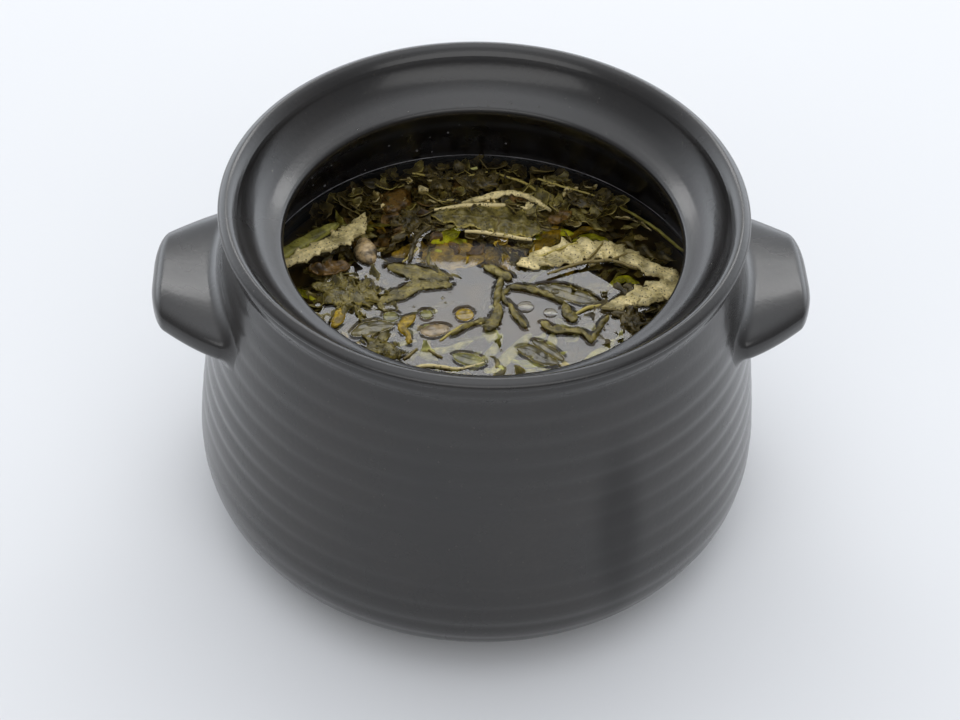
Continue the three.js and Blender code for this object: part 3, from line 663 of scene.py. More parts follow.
def rim_and_inside(size):
    """From the crease over the lip, down the seat and the inner wall to the floor."""
    rim, crest = size["rim_radius"], size["crest_height"]
    mouth, neck = size["opening_radius"], size["neck_radius"]
    crease, edge = size["neck_height"], size["opening_height"]
    lip_points = [
        (neck, crease), (neck + 1.1, crease + 4.2), (neck + 0.9, crease + 7.4),
        (rim - 0.1, crest - 3.8), (rim - 0.1, crest - 2.6), (rim - 0.8, crest - 1.4),
        (rim - 2.2, crest - 0.5), (rim - 3.8, crest), (rim - 5.4, crest - 0.7),
        (rim - 7, crest - 2.2), (rim - 8.4, crest - 4)]
    seat_points = [
        (rim - 9.1, crest - 5.4), (rim - 9.8, crest - 6.9), (rim - 11.3, crest - 9.4),
        (rim - 13.1, crest - 11.8), (rim - 15.5, crest - 14.4), (mouth + 8.8, edge + 5.7),
        (mouth + 5.7, edge + 4.2), (mouth + 2.9, edge + 3.1), (mouth + 1, edge + 2.1),
        (mouth + 0.1, edge + 0.6), (mouth, edge - 0.4)]
    inner_points = [
        (91.5, 138), (98, 128.5), (102.6, 116), (104.6, 105.5), (111, 79), (116, 48), (112.5, 29),
        (98, 15), (72, size["floor_height"]), (30, size["floor_height"])]
    rounded = curve_at(np.array(lip_points), np.linspace(0, 1, 91))
    seat = curve_at(np.array([lip_points[-1]] + seat_points), np.linspace(0, 1, 71))[1:]
    inside = curve_at(np.array([seat_points[-1]] + inner_points), np.linspace(0, 1, 64))[1:]
    return np.vstack([rounded[1:], seat, inside])


def turned_body(profile, segments, swell=None):
    """Points and faces of a profile turned about the axis, shut by a fan at both ends."""
    angle = np.linspace(0, 2 * np.pi, segments, endpoint=False)
    radius = np.repeat(profile[:, :1], segments, 1)
    height = np.repeat(profile[:, 1:], segments, 1)
    if swell is not None:
        radius = radius + swell(height, angle[None, :])
    rings = np.stack([radius * np.cos(angle), radius * np.sin(angle), height], -1)
    return closed_tube(rings)


def throwing_rings(size, outside_rows):
    """How far the wall stands out: one ridge that winds up the outside, fading in and out."""
    def swell(height, angle):
        phase = 2 * np.pi * height / size["ring_pitch"] + angle
        around = np.stack([np.cos(angle) * 40 + 0 * height, np.sin(angle) * 40 + 0 * height, height], -1)
        strength = np.maximum(1 + 1.4 * noise_at(around, 38, 3), 0.1)
        fade = np.clip((height - 8) / 16, 0, 1) * np.clip((size["neck_height"] - height) / 6, 0, 1)
        outside = (np.arange(height.shape[0]) < outside_rows)[:, None]
        ridge = np.sin(phase) + 0.22 * np.sin(2 * phase + 0.8)
        uneven = 0.25 * noise_at(around, 55, 8)
        return (size["ring_depth"] * ridge * strength * fade + uneven * fade) * outside
    return swell


def lug_section(size, distance, angle):
    """Place across and height of a handle's skin, at a distance from the axis."""
    root, root_half, tip_half = 106, 47.5, 24
    tip_thick, root_thick, nose_length = 15, 22, 6
    run = np.clip((distance - root) / (size["lug_reach"] - root), 0, 1)
    nose = np.clip(1 - (size["lug_reach"] - distance) / nose_length, 0, 1)
    taper = np.sqrt(1 - 0.97 * nose ** 2.2)
    half = (root_half - (root_half - tip_half) * run ** 1.55) * (0.25 + 0.75 * taper)
    thick = tip_thick + (root_thick - tip_thick) * (1 - run) ** 0.6
    across = half * np.sign(np.cos(angle)) * np.abs(np.cos(angle)) ** 0.6
    rise = 0.5 * thick * (taper * np.sign(np.sin(angle)) * np.abs(np.sin(angle)) ** 0.7 - 1)
    return across, size["lug_top"] + rise


def lug(size, wall, side):
    """One handle, flat on top, running into the wall by a soft fillet all round."""
    angle = 2 * np.pi * (np.arange(LUG_AROUND) + 0.5) / LUG_AROUND

    def wall_reach(across, height):
        radius = np.interp(height, wall[:, 1], wall[:, 0])
        return np.sqrt(np.maximum(radius ** 2 - across ** 2, 1))

    hit = np.full(LUG_AROUND, 118.0)
    for _ in range(30):
        hit = 0.5 * (hit + wall_reach(*lug_section(size, hit, angle)))
    start = np.minimum(hit + size["lug_fillet"], size["lug_reach"] - 8)
    fillet = start - hit
    rings = []
    for step in np.linspace(0, 1, 40):
        distance = size["lug_reach"] + (start - size["lug_reach"]) * step ** 1.5
        across, height = lug_section(size, distance, angle)
        rings.append(np.stack([distance, across, height], 1))
    across, height = lug_section(size, start, angle)
    tangent = np.roll(np.stack([across, height], 1), -1, 0) - np.roll(np.stack([across, height], 1), 1, 0)
    normal = np.stack([tangent[:, 1], -tangent[:, 0]], 1)
    normal /= np.linalg.norm(normal, axis=1)[:, None]
    for bend in np.linspace(0, np.pi / 2, 14)[1:]:
        off = fillet * (1 - np.cos(bend))
        y, z = across + normal[:, 0] * off, height + normal[:, 1] * off
        rings.append(np.stack([wall_reach(y, z) + fillet * (1 - np.sin(bend)) - 0.15, y, z], 1))
    sunk = rings[-1] - np.array([2.5, 0, 0])
    rings.append(sunk)
    rings = np.array(rings)
    rings[..., 1:] += 0.3 * noise_at(rings, 22, 4)[..., None] * np.array([1, 0.6])
    rings[..., 0] *= side
    return closed_tube(rings)


def build_pot():
    size = pot_sizes()
    wall = outer_wall(size)
    profile = np.vstack([[(20, 0), (50, 0)], wall, rim_and_inside(size)])
    swell = throwing_rings(size, len(wall) + 2)
    parts = [turned_body(profile, POT_SEGMENTS, swell)]
    parts += [lug(size, wall, side) for side in (1, -1)]
    points, faces = joined(parts)
    pot = make_piece("glazed_pot", points, faces, glaze_material(bpy.context.scene.stew_pot))
    settle(pot, "stoneware", "pot")


# ---------------------------------------------------------------------- greens

# Make of each finish: its record slot, the colour setting it uses, how much it crumples,
# how far its edge frays, how high its rib stands, its share of specks, how light its rim
# is, and how smooth it is. Films lie flat and mirror the light as the broth does.
FINISHES = {
    "pale": dict(slot="pale_leaf", colour="pale", crumple=1.2, fray=0.45, rib=0.25, specks=0.5, rim=1.1,
                 under="wilted", blotch=0.010),
    "stalk": dict(slot="green_stalk", colour="stalk", crumple=0.4, fray=0.04, rib=0.0, specks=0.1, rim=1.6),
    "wilted": dict(slot="wilted_leaf", colour="wilted", crumple=1.1, fray=0.3, rib=0.3, specks=0.3, rim=3.4),
    "olive": dict(slot="wilted_leaf", colour="wilted", crumple=0.7, fray=0.22, rib=0.35, specks=0.3,
                  rim=0.15, gain=1.25),
    "dark": dict(slot="dark_leaf", colour="dark", crumple=1.5, fray=0.4, rib=0.2, specks=0.3, rim=3.2),
    "brown": dict(slot="brown_leaf", colour="brown", crumple=1.0, fray=0.2, rib=0.2, specks=0.3, rim=1.8,
                  veins=0.1),
    "amber": dict(slot="amber_leaf", colour="amber", crumple=0.5, fray=0.1, rib=0.2, specks=0.1, rim=1.8),
    "pink": dict(slot="pink_lump", colour="pink", crumple=0.7, fray=0.1, rib=0.0, specks=0.3, rim=1.2,
                 veins=0.0),
    "glow": dict(slot="green_stalk", colour="glow", crumple=0.6, fray=0.15, rib=0.2, specks=0.1, rim=1.3),
    "straw": dict(slot="pale_leaf", colour="straw", crumple=0.3, fray=0.05, rib=0.1, specks=0.1, rim=1.1),
    "olive film": dict(slot="wilted_leaf", colour="wilted", crumple=0.05, fray=0.08, rib=0.06, specks=0.1,
                       rim=4.5, film=True),
    "green film": dict(slot="green_stalk", colour="stalk", crumple=0.05, fray=0.06, rib=0.06, specks=0.1,
                       rim=3.0, film=True),
    "amber film": dict(slot="amber_leaf", colour="amber", crumple=0.05, fray=0.08, rib=0.06, specks=0.1,
                       rim=1.6, film=True),
    "pink film": dict(slot="pink_lump", colour="pink", crumple=0.05, fray=0.08, rib=0.06, specks=0.2,
                      rim=1.2, film=True),
}


def leaf_material(kind, sunken=False):
    """Wet leaf: patchy colour, fibres along it, pepper specks, a lighter or darker rim, wet skin.
    Sunken greens dim and redden with their depth under the broth."""
    look = bpy.context.scene.stew_greens
    make = FINISHES[kind]
    film = make.get("film", False)
    colour = Vector(getattr(look, make["colour"])) * (0.6 if film else make.get("gain", 1.0))
    under = rgba(getattr(look, make["under"])) if "under" in make else rgba(colour, 0.14)
    material, tree, shader = blank_material(f"{'sunken' if sunken else 'wet'} {kind}")
    patches = use_group(tree, "Mottle", Size=make.get("blotch", 0.006), Contrast=4.6)["Mask"]
    fine = use_group(tree, "Mottle", Size=0.0016, Contrast=3.2)["Mask"]
    fibres = use_group(tree, "Fibres", Count=26.0, Contrast=2.4)["Mask"]
    specks = use_group(tree, "Specks", Spacing=0.0013, Dot_size=0.3, Share=make["specks"])["Mask"]
    body = blend_of(tree, patches, under, rgba(colour, 1.5))
    grained = blend_of(tree, ranged(tree, fine, 0.0, 0.6), body, rgba(colour, 0.25))
    veined = blend_of(tree, ranged(tree, fibres, 0.0, make.get("veins", 0.35)), grained, rgba(colour, 1.7))
    place = node(tree, "ShaderNodeUVMap", uv_map="leaf").outputs["UV"]
    across = node(tree, "ShaderNodeSeparateXYZ", {0: place}).outputs["Y"]
    offset = node(tree, "ShaderNodeMath", {0: across, 1: 0.5}, operation="SUBTRACT").outputs[0]
    side = node(tree, "ShaderNodeMath", {0: offset}, operation="ABSOLUTE").outputs[0]
    rim = ranged(tree, side, 0.0, 0.75, 0.43, 0.5)
    rimmed = blend_of(tree, rim, veined, rgba(colour, make["rim"]))
    shown = blend_of(tree, ranged(tree, specks, 0.0, 0.85), rimmed, rgba(colour, 0.1))
    if sunken:
        shown = dimmed_by_depth(tree, shown)
    tree.links.new(shown, shader.inputs["Base Color"])
    rough = (0.05, 0.10) if film else (0.24, 0.44)
    tree.links.new(ranged(tree, fine, *rough), shader.inputs["Roughness"])
    relief = node(tree, "ShaderNodeMath", {0: fibres, 1: 0.6, 2: fine}, operation="MULTIPLY_ADD")
    bump = node(tree, "ShaderNodeBump", {
        "Height": relief.outputs[0], "Strength": 0.05 if film else 0.6, "Distance": 0.00016})
    tree.links.new(bump.outputs["Normal"], shader.inputs["Normal"])
    shader.inputs["Specular IOR Level"].default_value = 0.3
    if not (film or sunken):
        shader.inputs["Coat Weight"].default_value = 0.15
        shader.inputs["Coat Roughness"].default_value = 0.06
    return material


def dimmed_by_depth(tree, colour):
    """The colour after the broth has taken light from it: less and redder the deeper it lies."""
    look = bpy.context.scene.stew_broth
    place = node(tree, "ShaderNodeTexCoord").outputs["Object"]
    height = node(tree, "ShaderNodeSeparateXYZ", {0: place}).outputs["Z"]
    depth = ranged(tree, height, 0.0, 1.0, look.level, look.level - look.sight)
    base = node(tree, "ShaderNodeMath", {0: 1 / 3, 1: depth}, operation="POWER").outputs[0]
    clear = node(tree, "ShaderNodeMath", {0: base, 1: 1.0}, operation="MINIMUM").outputs[0]
    return blend_of(tree, clear, rgba(look.depths, 0.6), colour)


def greens_material(kind):
    return bpy.data.materials.get(f"wet {kind}") or leaf_material(kind)


def sunken_material(kind):
    return bpy.data.materials.get(f"sunken {kind}") or leaf_material(kind, sunken=True)


def ribbon_mesh(shape, make, cell=None):
    """One leaf or stalk along its spine: the solid's own form with fine folds and a frayed edge."""
    look = bpy.context.scene.stew_greens
    cell, level = cell or look.cell / MM, bpy.context.scene.stew_broth.level / MM
    thick, lift, wave = shape.get("thick", 1.4), shape.get("lift", 0.6), shape.get("wave", 0.5)
    cup, seed, coarse = shape.get("cup", 0), shape.get("seed", 1), shape.get("rows", 8)
    blunt = shape.get("blunt", 5)
    draw = draw_from(seed)
    phase, ripple, lean = draw() * 6.3, 2.2 + 2 * draw(), (draw() - 0.5) * 0.5
    if make.get("film"):
        thick, lift, wave, lean = 0.55 * thick, 0.4 * lift, 0.4 * wave, 0.4 * lean
    guide = curve_at(shape["spine"], np.linspace(0, 1, 40))
    length = np.linalg.norm(np.diff(guide[:, :2], axis=0), axis=1).sum()
    rows = max(8, round(length / cell)) + 1
    cols = max(6, round(2 * guide[:, 2].max() / cell)) + 1
    t, v = np.linspace(0, 1, rows), np.linspace(-1, 1, cols)[None, :]
    centre = curve_at(shape["spine"], t)
    along = np.gradient(centre[:, :2], axis=0)
    along /= np.linalg.norm(along, axis=1)[:, None]
    across = np.stack([-along[:, 1], along[:, 0]], 1)
    end = np.abs(2 * t - 1)
    half = (centre[:, 2] * np.sqrt(1 - 0.97 * end ** blunt))[:, None]
    i = (t * coarse)[:, None]
    frill = 1 + 0.14 * wave * np.sin(2.3 * i + phase + 2 * v)
    edge_place = np.stack(np.broadcast_arrays(t[:, None] * length, 9 * np.sign(v), seed * 3.7), -1)
    tear = noise_at(edge_place, 2.6, 1) + 0.6 * noise_at(edge_place, 1.1, 2)
    frill = frill * (1 + make["fray"] * tear * np.abs(v) ** 3)
    offset = half * v * frill
    plan = centre[:, None, :2] + across[:, None, :] * offset[..., None]
    rise = lift + cup * v * v + lean * v + wave * np.sin(phase + ripple * i + 2.1 * v) * (
        0.35 + 0.65 * np.abs(v))
    tip = np.sqrt(1 - 0.9 * end[:, None] ** 8)
    body = (thick / 2) * np.sqrt(1 - 0.94 * v ** 4) * tip
    place = np.concatenate([plan, np.full(plan.shape[:2] + (1,), seed * 5.1)], -1)
    relief = look.crumple / MM * make["crumple"] * folds(place, 3.2, look.seed)
    relief = relief * min(1, half.max() / 2.5)
    rib = make["rib"] * np.exp(-(offset / 0.5) ** 2)
    upper = np.concatenate([plan, (level + rise + relief + body + rib)[..., None]], -1)
    lower = np.concatenate([plan, (level + rise + relief - body)[..., None]], -1)
    top = upper.reshape(-1, 3)
    low = lower.reshape(-1, 3)
    faces = [face[::-1] for face in grid_faces(rows, cols)]
    under = grid_faces(rows, cols, rows * cols)
    border = [j for j in range(cols)] + [r * cols + cols - 1 for r in range(1, rows)]
    border += [(rows - 1) * cols + j for j in range(cols - 2, -1, -1)]
    border += [r * cols for r in range(rows - 2, 0, -1)]
    shift = rows * cols
    walls = [[a, b, b + shift, a + shift] for a, b in zip(border, border[1:] + border[:1])]
    uv = np.stack(np.broadcast_arrays(t[:, None] * length / 10, (v + 1) / 2), -1).reshape(-1, 2)
    outline = upper.reshape(-1, 3)[border]
    return dict(
        points=np.vstack([top, low]), faces=faces + under + [w[::-1] for w in walls],
        uv=np.vstack([uv, uv]), outline=outline)


def lump_mesh(shape, make):
    """A soft rounded lump with the solid's own swellings, folded finely."""
    (x, y), (a, b, c) = shape["at"], shape["radii"]
    level, look = bpy.context.scene.stew_broth.level / MM, bpy.context.scene.stew_greens
    draw = draw_from(shape["seed"])
    p, q = draw() * 6.3, draw() * 6.3
    turn = math.radians(shape.get("turn", 0))
    polar = np.linspace(0, np.pi, 46)[:, None]
    round_ = np.linspace(0, 2 * np.pi, 80, endpoint=False)[None, :]
    n = np.stack(np.broadcast_arrays(
        np.sin(polar) * np.cos(round_), np.sin(polar) * np.sin(round_), np.cos(polar)), -1)
    swell = 1 + 0.09 * np.sin(3 * n[..., 0] + p) * np.cos(4 * n[..., 1] + q)
    swell = swell + 0.05 * np.sin(7 * n[..., 1] + p)
    swell = swell + 0.07 * make["crumple"] * folds(n * np.array([a, b, c]) + shape["seed"], 3.4, look.seed)
    r = n * np.array([a, b, c]) * swell[..., None]
    turned = np.stack([
        r[..., 0] * math.cos(turn) - r[..., 1] * math.sin(turn) + x,
        r[..., 0] * math.sin(turn) + r[..., 1] * math.cos(turn) + y,
        r[..., 2] + level + shape.get("lift", 0)], -1)
    points, faces = closed_tube(turned[1:-1])
    uv = np.tile([0.5, 0.5], (len(points), 1)) + 0.2 * (points[:, :2] - [x, y]) / max(a, b)
    at_level = np.argmin(np.abs(turned[..., 2] - level), axis=0)
    outline = turned[at_level, np.arange(turned.shape[1])]
    return dict(points=points, faces=faces, uv=uv, outline=outline)


def clump_parts(shape):
    """The ribbons of one clump: its pad, the bits fused on it and smaller shreds between them."""
    (x, y), (a, b) = shape["at"], shape["radii"]
    bits, seed, size = shape.get("bits", 5), shape["seed"], shape.get("size", 4)
    draw = draw_from(seed)
    tilt = math.radians(shape.get("turn", 0))
    along, across = math.cos(tilt), math.sin(tilt)

    def at(u, v):
        return [x + u * along - v * across, y + u * across + v * along]

    parts = [dict(
        spine=[at(-0.62 * a, 0) + [0.45 * b], at(0, 0) + [0.66 * b], at(0.62 * a, 0) + [0.45 * b]],
        thick=3.4, lift=0.2, wave=0.4, seed=seed, rows=4)]
    for i in range(bits):
        angle = 2 * math.pi * (i + 0.7 * draw()) / bits
        far = 0.5 + 0.25 * draw()
        cx, cy = at(a * far * math.cos(angle), b * far * math.sin(angle))
        heading = angle + tilt + (draw() - 0.5) * 1.6
        length = size * (0.9 + 0.7 * draw())
        half = size * (0.35 + 0.25 * draw())
        dx, dy = length * math.cos(heading), length * math.sin(heading)
        parts.append(dict(
            spine=[[cx - dx, cy - dy, half * 0.8], [cx, cy, half], [cx + dx, cy + dy, half * 0.5]],
            thick=1.6, lift=0.5 + 1.1 * draw(), wave=0.6, seed=seed * 31 + i, rows=2, blunt=3))
    for i in range(3 * bits):
        angle, far = 2 * math.pi * draw(), 0.85 * math.sqrt(draw())
        cx, cy = at(a * far * math.cos(angle), b * far * math.sin(angle))
        heading = 2 * math.pi * draw()
        length, half = size * (0.3 + 0.4 * draw()), size * (0.1 + 0.12 * draw())
        dx, dy = length * math.cos(heading), length * math.sin(heading)
        bow = 0.4 * length * (draw() - 0.5)
        parts.append(dict(
            spine=[[cx - dx, cy - dy, half * 0.6], [cx - dy * bow / length, cy + dx * bow / length, half],
                   [cx + dx, cy + dy, half * 0.5]],
            thick=0.8, lift=1.5 + 0.9 * draw(), wave=0.5, seed=seed * 57 + i, rows=3, blunt=3))
    return parts


def joined_greens(meshes):
    """One mesh from several leaves, and all their outlines."""
    points, faces = joined([(m["points"], m["faces"]) for m in meshes])
    return dict(points=points, faces=faces, uv=np.vstack([m["uv"] for m in meshes]),
                outline=np.vstack([m["outline"] for m in meshes]))


def greens_mesh(how, shape, make):
    if how == "lump":
        return lump_mesh(shape, make)
    parts = {"ribbon": lambda: [shape], "sprig": lambda: shape["parts"],
             "clump": lambda: clump_parts(shape)}[how]()
    return joined_greens([ribbon_mesh(part, make) for part in parts])


# What floats in the broth, each as its node, finish, make and shape.
FLOATING = [
    ("stalk_green", "stalk", "ribbon", dict(
        spine=[[-96, 27, 3.2], [-84, 37.5, 3.4], [-74, 46.5, 3], [-64.5, 54, 2]],
        thick=4.4, lift=0.5, wave=0.2, seed=3)),
    ("stalk_pale", "pale", "ribbon", dict(
        spine=[[-96, 20, 2.6], [-84, 29, 3.2], [-68, 40, 4.6], [-57, 49, 5], [-52.5, 61, 1.6]],
        thick=2.6, lift=1.1, wave=0.4, seed=5, rows=12)),
    ("lump_pale", "pink", "lump", dict(
        at=[-52, 35], radii=[5.2, 8.6, 3.4], turn=10, lift=0.2, seed=4)),
    ("leaf_brown", "brown", "ribbon", dict(
        spine=[[-78, 22, 3], [-69, 22, 4.6], [-59, 25.5, 3.2]],
        thick=1.8, lift=0.7, wave=0.6, cup=0.8, seed=9, rows=8)),
    ("lump_brown", "brown", "lump", dict(
        at=[-38, 72], radii=[7.4, 9.4, 4], turn=-20, lift=-2.6, seed=6)),
    ("leaf_fork", "pale", "sprig", dict(
        parts=[
            dict(spine=[[17, 25, 3.4], [32, 30, 6.5], [46, 35, 7], [60, 36, 5.5], [68, 32, 4.4]],
                thick=2.2, lift=1.1, wave=0.7, seed=12, rows=10, cols=3),
            dict(spine=[[64, 35, 4.5], [74, 27, 3.6], [84, 19, 4.4], [92, 13, 3.6]],
                thick=2.4, lift=1.1, wave=0.5, seed=14, rows=6),
            dict(spine=[[54, -4, 1.8], [65, 0, 3.8], [77, 6, 6.6], [91, 12, 6]],
                thick=2.6, lift=1, wave=0.4, seed=15, rows=6),
        ])),
    ("leaf_wilted_top", "wilted", "ribbon", dict(
        spine=[[-22, 60, 2.4], [-8, 58.5, 6], [8, 56.5, 8.4], [20, 52.5, 8], [30, 47.5, 3.2]],
        thick=1.9, lift=1, wave=0.8, seed=17, rows=13, cols=4)),
    ("rib_top", "pale", "ribbon", dict(
        spine=[[-7, 69, 1.2], [4, 73, 1.8], [15, 76.5, 1.6], [24, 74, 1.4], [35, 63.5, 1.1]],
        thick=2, lift=0.7, wave=0.2, seed=18, rows=10, cols=2)),
    ("sprig_red", "brown", "ribbon", dict(
        spine=[[33.5, 55, 2.6], [38.5, 58.5, 2.8], [44.5, 63, 1.6]],
        thick=1.9, lift=0.9, wave=0.5, seed=19, rows=5, cols=2)),
    ("sprig_centre", "olive", "sprig", dict(
        parts=[
            dict(spine=[[2, 24.5, 1.8], [8, 20.5, 2.6], [14.5, 15.5, 2.2]],
                thick=2.2, lift=0.9, seed=21, rows=5, cols=1),
            dict(spine=[[10, 19, 1.5], [8.4, 9, 1.7], [6.4, -3, 1.5]],
                thick=1.8, lift=0.8, seed=22, rows=5, cols=1),
            dict(spine=[[7, 0, 1.6], [7.5, -7, 2.4], [4, -14.5, 3], [1.5, -18, 2]],
                thick=2, lift=0.8, seed=23, rows=7, cols=2),
            dict(spine=[[6.5, -11, 1.2], [-4, -13.5, 1.1], [-14, -21, 1]],
                thick=1.4, lift=0.7, seed=24, rows=5, cols=1),
        ])),
    ("leaf_rib_right", "olive", "sprig", dict(
        parts=[
            dict(spine=[[12.4, 10.6, 1.6], [23, 9, 2], [31, 5, 1.5], [39, -1.5, 1.2]],
                thick=1.8, lift=0.8, seed=25, rows=7, cols=1),
            dict(spine=[[12.5, 0, 1], [15, -7.5, 1.8], [19.8, -16.5, 1.6]],
                thick=1.6, lift=0.7, seed=26, rows=5, cols=1),
            dict(spine=[[37.5, -0.5, 1.2], [39, -7, 3], [42, -12, 2.6]],
                thick=1.5, lift=0.7, seed=27, rows=5, cols=2),
            dict(spine=[[12, -1, 1.4], [10, 5, 1.2], [13, 10, 1.6]],
                thick=1.5, lift=0.7, seed=28, rows=4, cols=1),
        ])),
    ("leaf_hook", "olive", "sprig", dict(
        parts=[
            dict(
                spine=[[26.8, -12, 2], [30.5, -17, 2.4], [38, -18, 1.9], [45, -19.6, 1.7],
                       [48.6, -26, 1.5]],
                thick=1.7, lift=0.7, seed=31, rows=9, cols=2),
            dict(spine=[[48.6, -25, 1.4], [52.3, -16.5, 1.3], [57, -8.5, 1.2]],
                thick=1.5, lift=0.7, seed=32, rows=5, cols=1),
        ])),
    ("leaf_smooth", "olive film", "ribbon", dict(
        spine=[[26.5, 12, 1.6], [36, 8.4, 4.4], [46, 3.6, 4.2], [54, 0.6, 1.4]],
        thick=1.1, lift=0.3, wave=0.15, seed=33, rows=8, cols=2)),
    ("leaf_float_left", "olive", "sprig", dict(
        parts=[
            dict(spine=[[-46, 0.5, 2.2], [-37, 5.5, 3.6], [-27, 12, 3.2], [-19, 12, 2.6], [-12.5, 12, 1.8]],
                thick=1.5, lift=0.7, wave=0.4, seed=35, rows=8),
            dict(spine=[[-42, 24, 3], [-31, 21, 4.2], [-21, 17.5, 3.4], [-14, 15.5, 1.8]],
                thick=1.4, lift=0.7, wave=0.5, seed=36, rows=6),
            dict(spine=[[-31, 10, 2.4], [-29, 16, 2.4], [-27, 22, 2.4]],
                thick=1.3, lift=0.6, seed=37, rows=4, cols=1),
        ])),
    ("stem_dark_left", "dark", "ribbon", dict(
        spine=[[-21.5, 52.5, 0.9], [-27, 47, 1], [-30.5, 37, 1.1], [-32, 27.5, 1.2]],
        thick=1.8, lift=0.5, wave=0.2, seed=38, rows=7, cols=2)),
    ("leaf_amber_tip", "amber", "ribbon", dict(
        spine=[[-62.5, -3, 2], [-63.5, -9, 2.6], [-66, -16, 1.8]],
        thick=1.6, lift=0.6, wave=0.3, seed=39, rows=5, cols=2)),
    ("leaf_amber", "amber", "ribbon", dict(
        spine=[[-29.6, -7.6, 1.2], [-33, -11.5, 2.7], [-35.5, -16, 1.9], [-33, -21, 1.3],
               [-32.6, -26.5, 1.6]],
        thick=1.5, lift=0.6, wave=0.2, seed=40, rows=8, cols=2)),
    ("pad_long", "olive film", "ribbon", dict(
        spine=[[-58, -20.5, 3], [-49, -15.5, 4.4], [-39, -14, 2.8]],
        thick=1.2, lift=0.3, wave=0.15, seed=41, rows=7, cols=2, blunt=3)),
    ("pad_pink", "pink film", "ribbon", dict(
        spine=[[-27.6, -18.2, 3.2], [-21, -17.6, 4], [-14.4, -15.6, 2.8]],
        thick=1.2, lift=0.3, wave=0.15, seed=42, rows=6, cols=2, blunt=3)),
    ("pad_round_left", "green film", "ribbon", dict(
        spine=[[-44, -8.6, 3], [-40.5, -8.6, 3.4], [-37, -8.8, 3]],
        thick=1.1, lift=0.3, wave=0.1, seed=43, rows=4, cols=2, blunt=3)),
    ("pad_round_centre", "green film", "ribbon", dict(
        spine=[[-27.6, -7, 2.5], [-24.7, -7, 3], [-21.8, -7, 2.5]],
        thick=1.1, lift=0.3, wave=0.1, seed=44, rows=4, cols=2, blunt=3)),
    ("pad_amber", "amber film", "ribbon", dict(
        spine=[[-11.6, -8, 3.4], [-7.5, -7.2, 4.2], [-3.4, -6.6, 3.4]],
        thick=1.1, lift=0.3, wave=0.1, seed=45, rows=4, cols=2, blunt=3)),
    ("pad_front", "green film", "ribbon", dict(
        spine=[[-13.4, -33, 2.8], [-6, -36.4, 4], [1, -38.6, 3]],
        thick=1.3, lift=0.3, wave=0.15, seed=46, rows=6, cols=2, blunt=3)),
    ("leaf_front_right", "olive film", "sprig", dict(
        parts=[
            dict(spine=[[15, -29, 2.4], [21, -31, 4], [26.5, -36, 3.6], [33, -38.5, 2]],
                thick=1.5, lift=0.6, wave=0.4, seed=47, rows=7),
            dict(spine=[[22, -24, 1.6], [28, -29, 2.6], [35.4, -36.5, 2]],
                thick=1.5, lift=0.6, wave=0.3, seed=48, rows=5, cols=1),
        ])),
    ("clump_left", "wilted", "clump", dict(
        at=[-60, 6], radii=[18, 11], turn=-12, bits=7, seed=51, size=4.6)),
    ("clump_front", "wilted", "clump", dict(
        at=[-44, -29.5], radii=[13, 6.4], turn=-32, bits=5, seed=52, size=3.6)),
    ("clump_right", "dark", "clump", dict(
        at=[67, -11.5], radii=[9, 6], turn=-48, bits=4, seed=53, size=3.4)),
    ("clump_top_left", "dark", "clump", dict(
        at=[-17.5, 86], radii=[5.5, 10], turn=8, bits=4, seed=54, size=3.4)),
    ("clump_top", "dark", "clump", dict(
        at=[1, 84.5], radii=[11, 6.5], turn=6, bits=5, seed=55, size=3.8)),
    ("clump_top_right", "dark", "clump", dict(
        at=[52, 70], radii=[11, 5], turn=-12, bits=4, seed=56, size=3.4)),
    ("clump_middle", "dark", "clump", dict(
        at=[-32, 56], radii=[6.5, 9], turn=-28, bits=4, seed=57, size=3.4)),
    ("clump_near", "wilted", "clump", dict(
        at=[-6, -78], radii=[22, 9], turn=4, bits=6, seed=59, size=4.8)),
    ("leaf_near_left", "wilted", "ribbon", dict(
        spine=[[-52, -66, 3], [-40, -60, 5.4], [-27, -57, 4]],
        thick=1.5, lift=0.6, wave=0.5, seed=61, rows=8)),
    ("leaf_near_right", "pale", "ribbon", dict(
        spine=[[26, -58, 3], [40, -60, 5.6], [53, -66, 3.2]],
        thick=1.7, lift=0.8, wave=0.6, seed=62, rows=8)),
    ("stalk_near", "stalk", "ribbon", dict(
        spine=[[46, -80, 1.9], [60, -62, 2.3], [72, -42, 1.9]],
        thick=3.6, lift=0.3, wave=0.2, seed=63, rows=7)),
]

FLOAT_OUTLINES = []


STALKS = ("stalk_green", "stalk_pale", "rib_top", "stem_dark_left", "stalk_near")


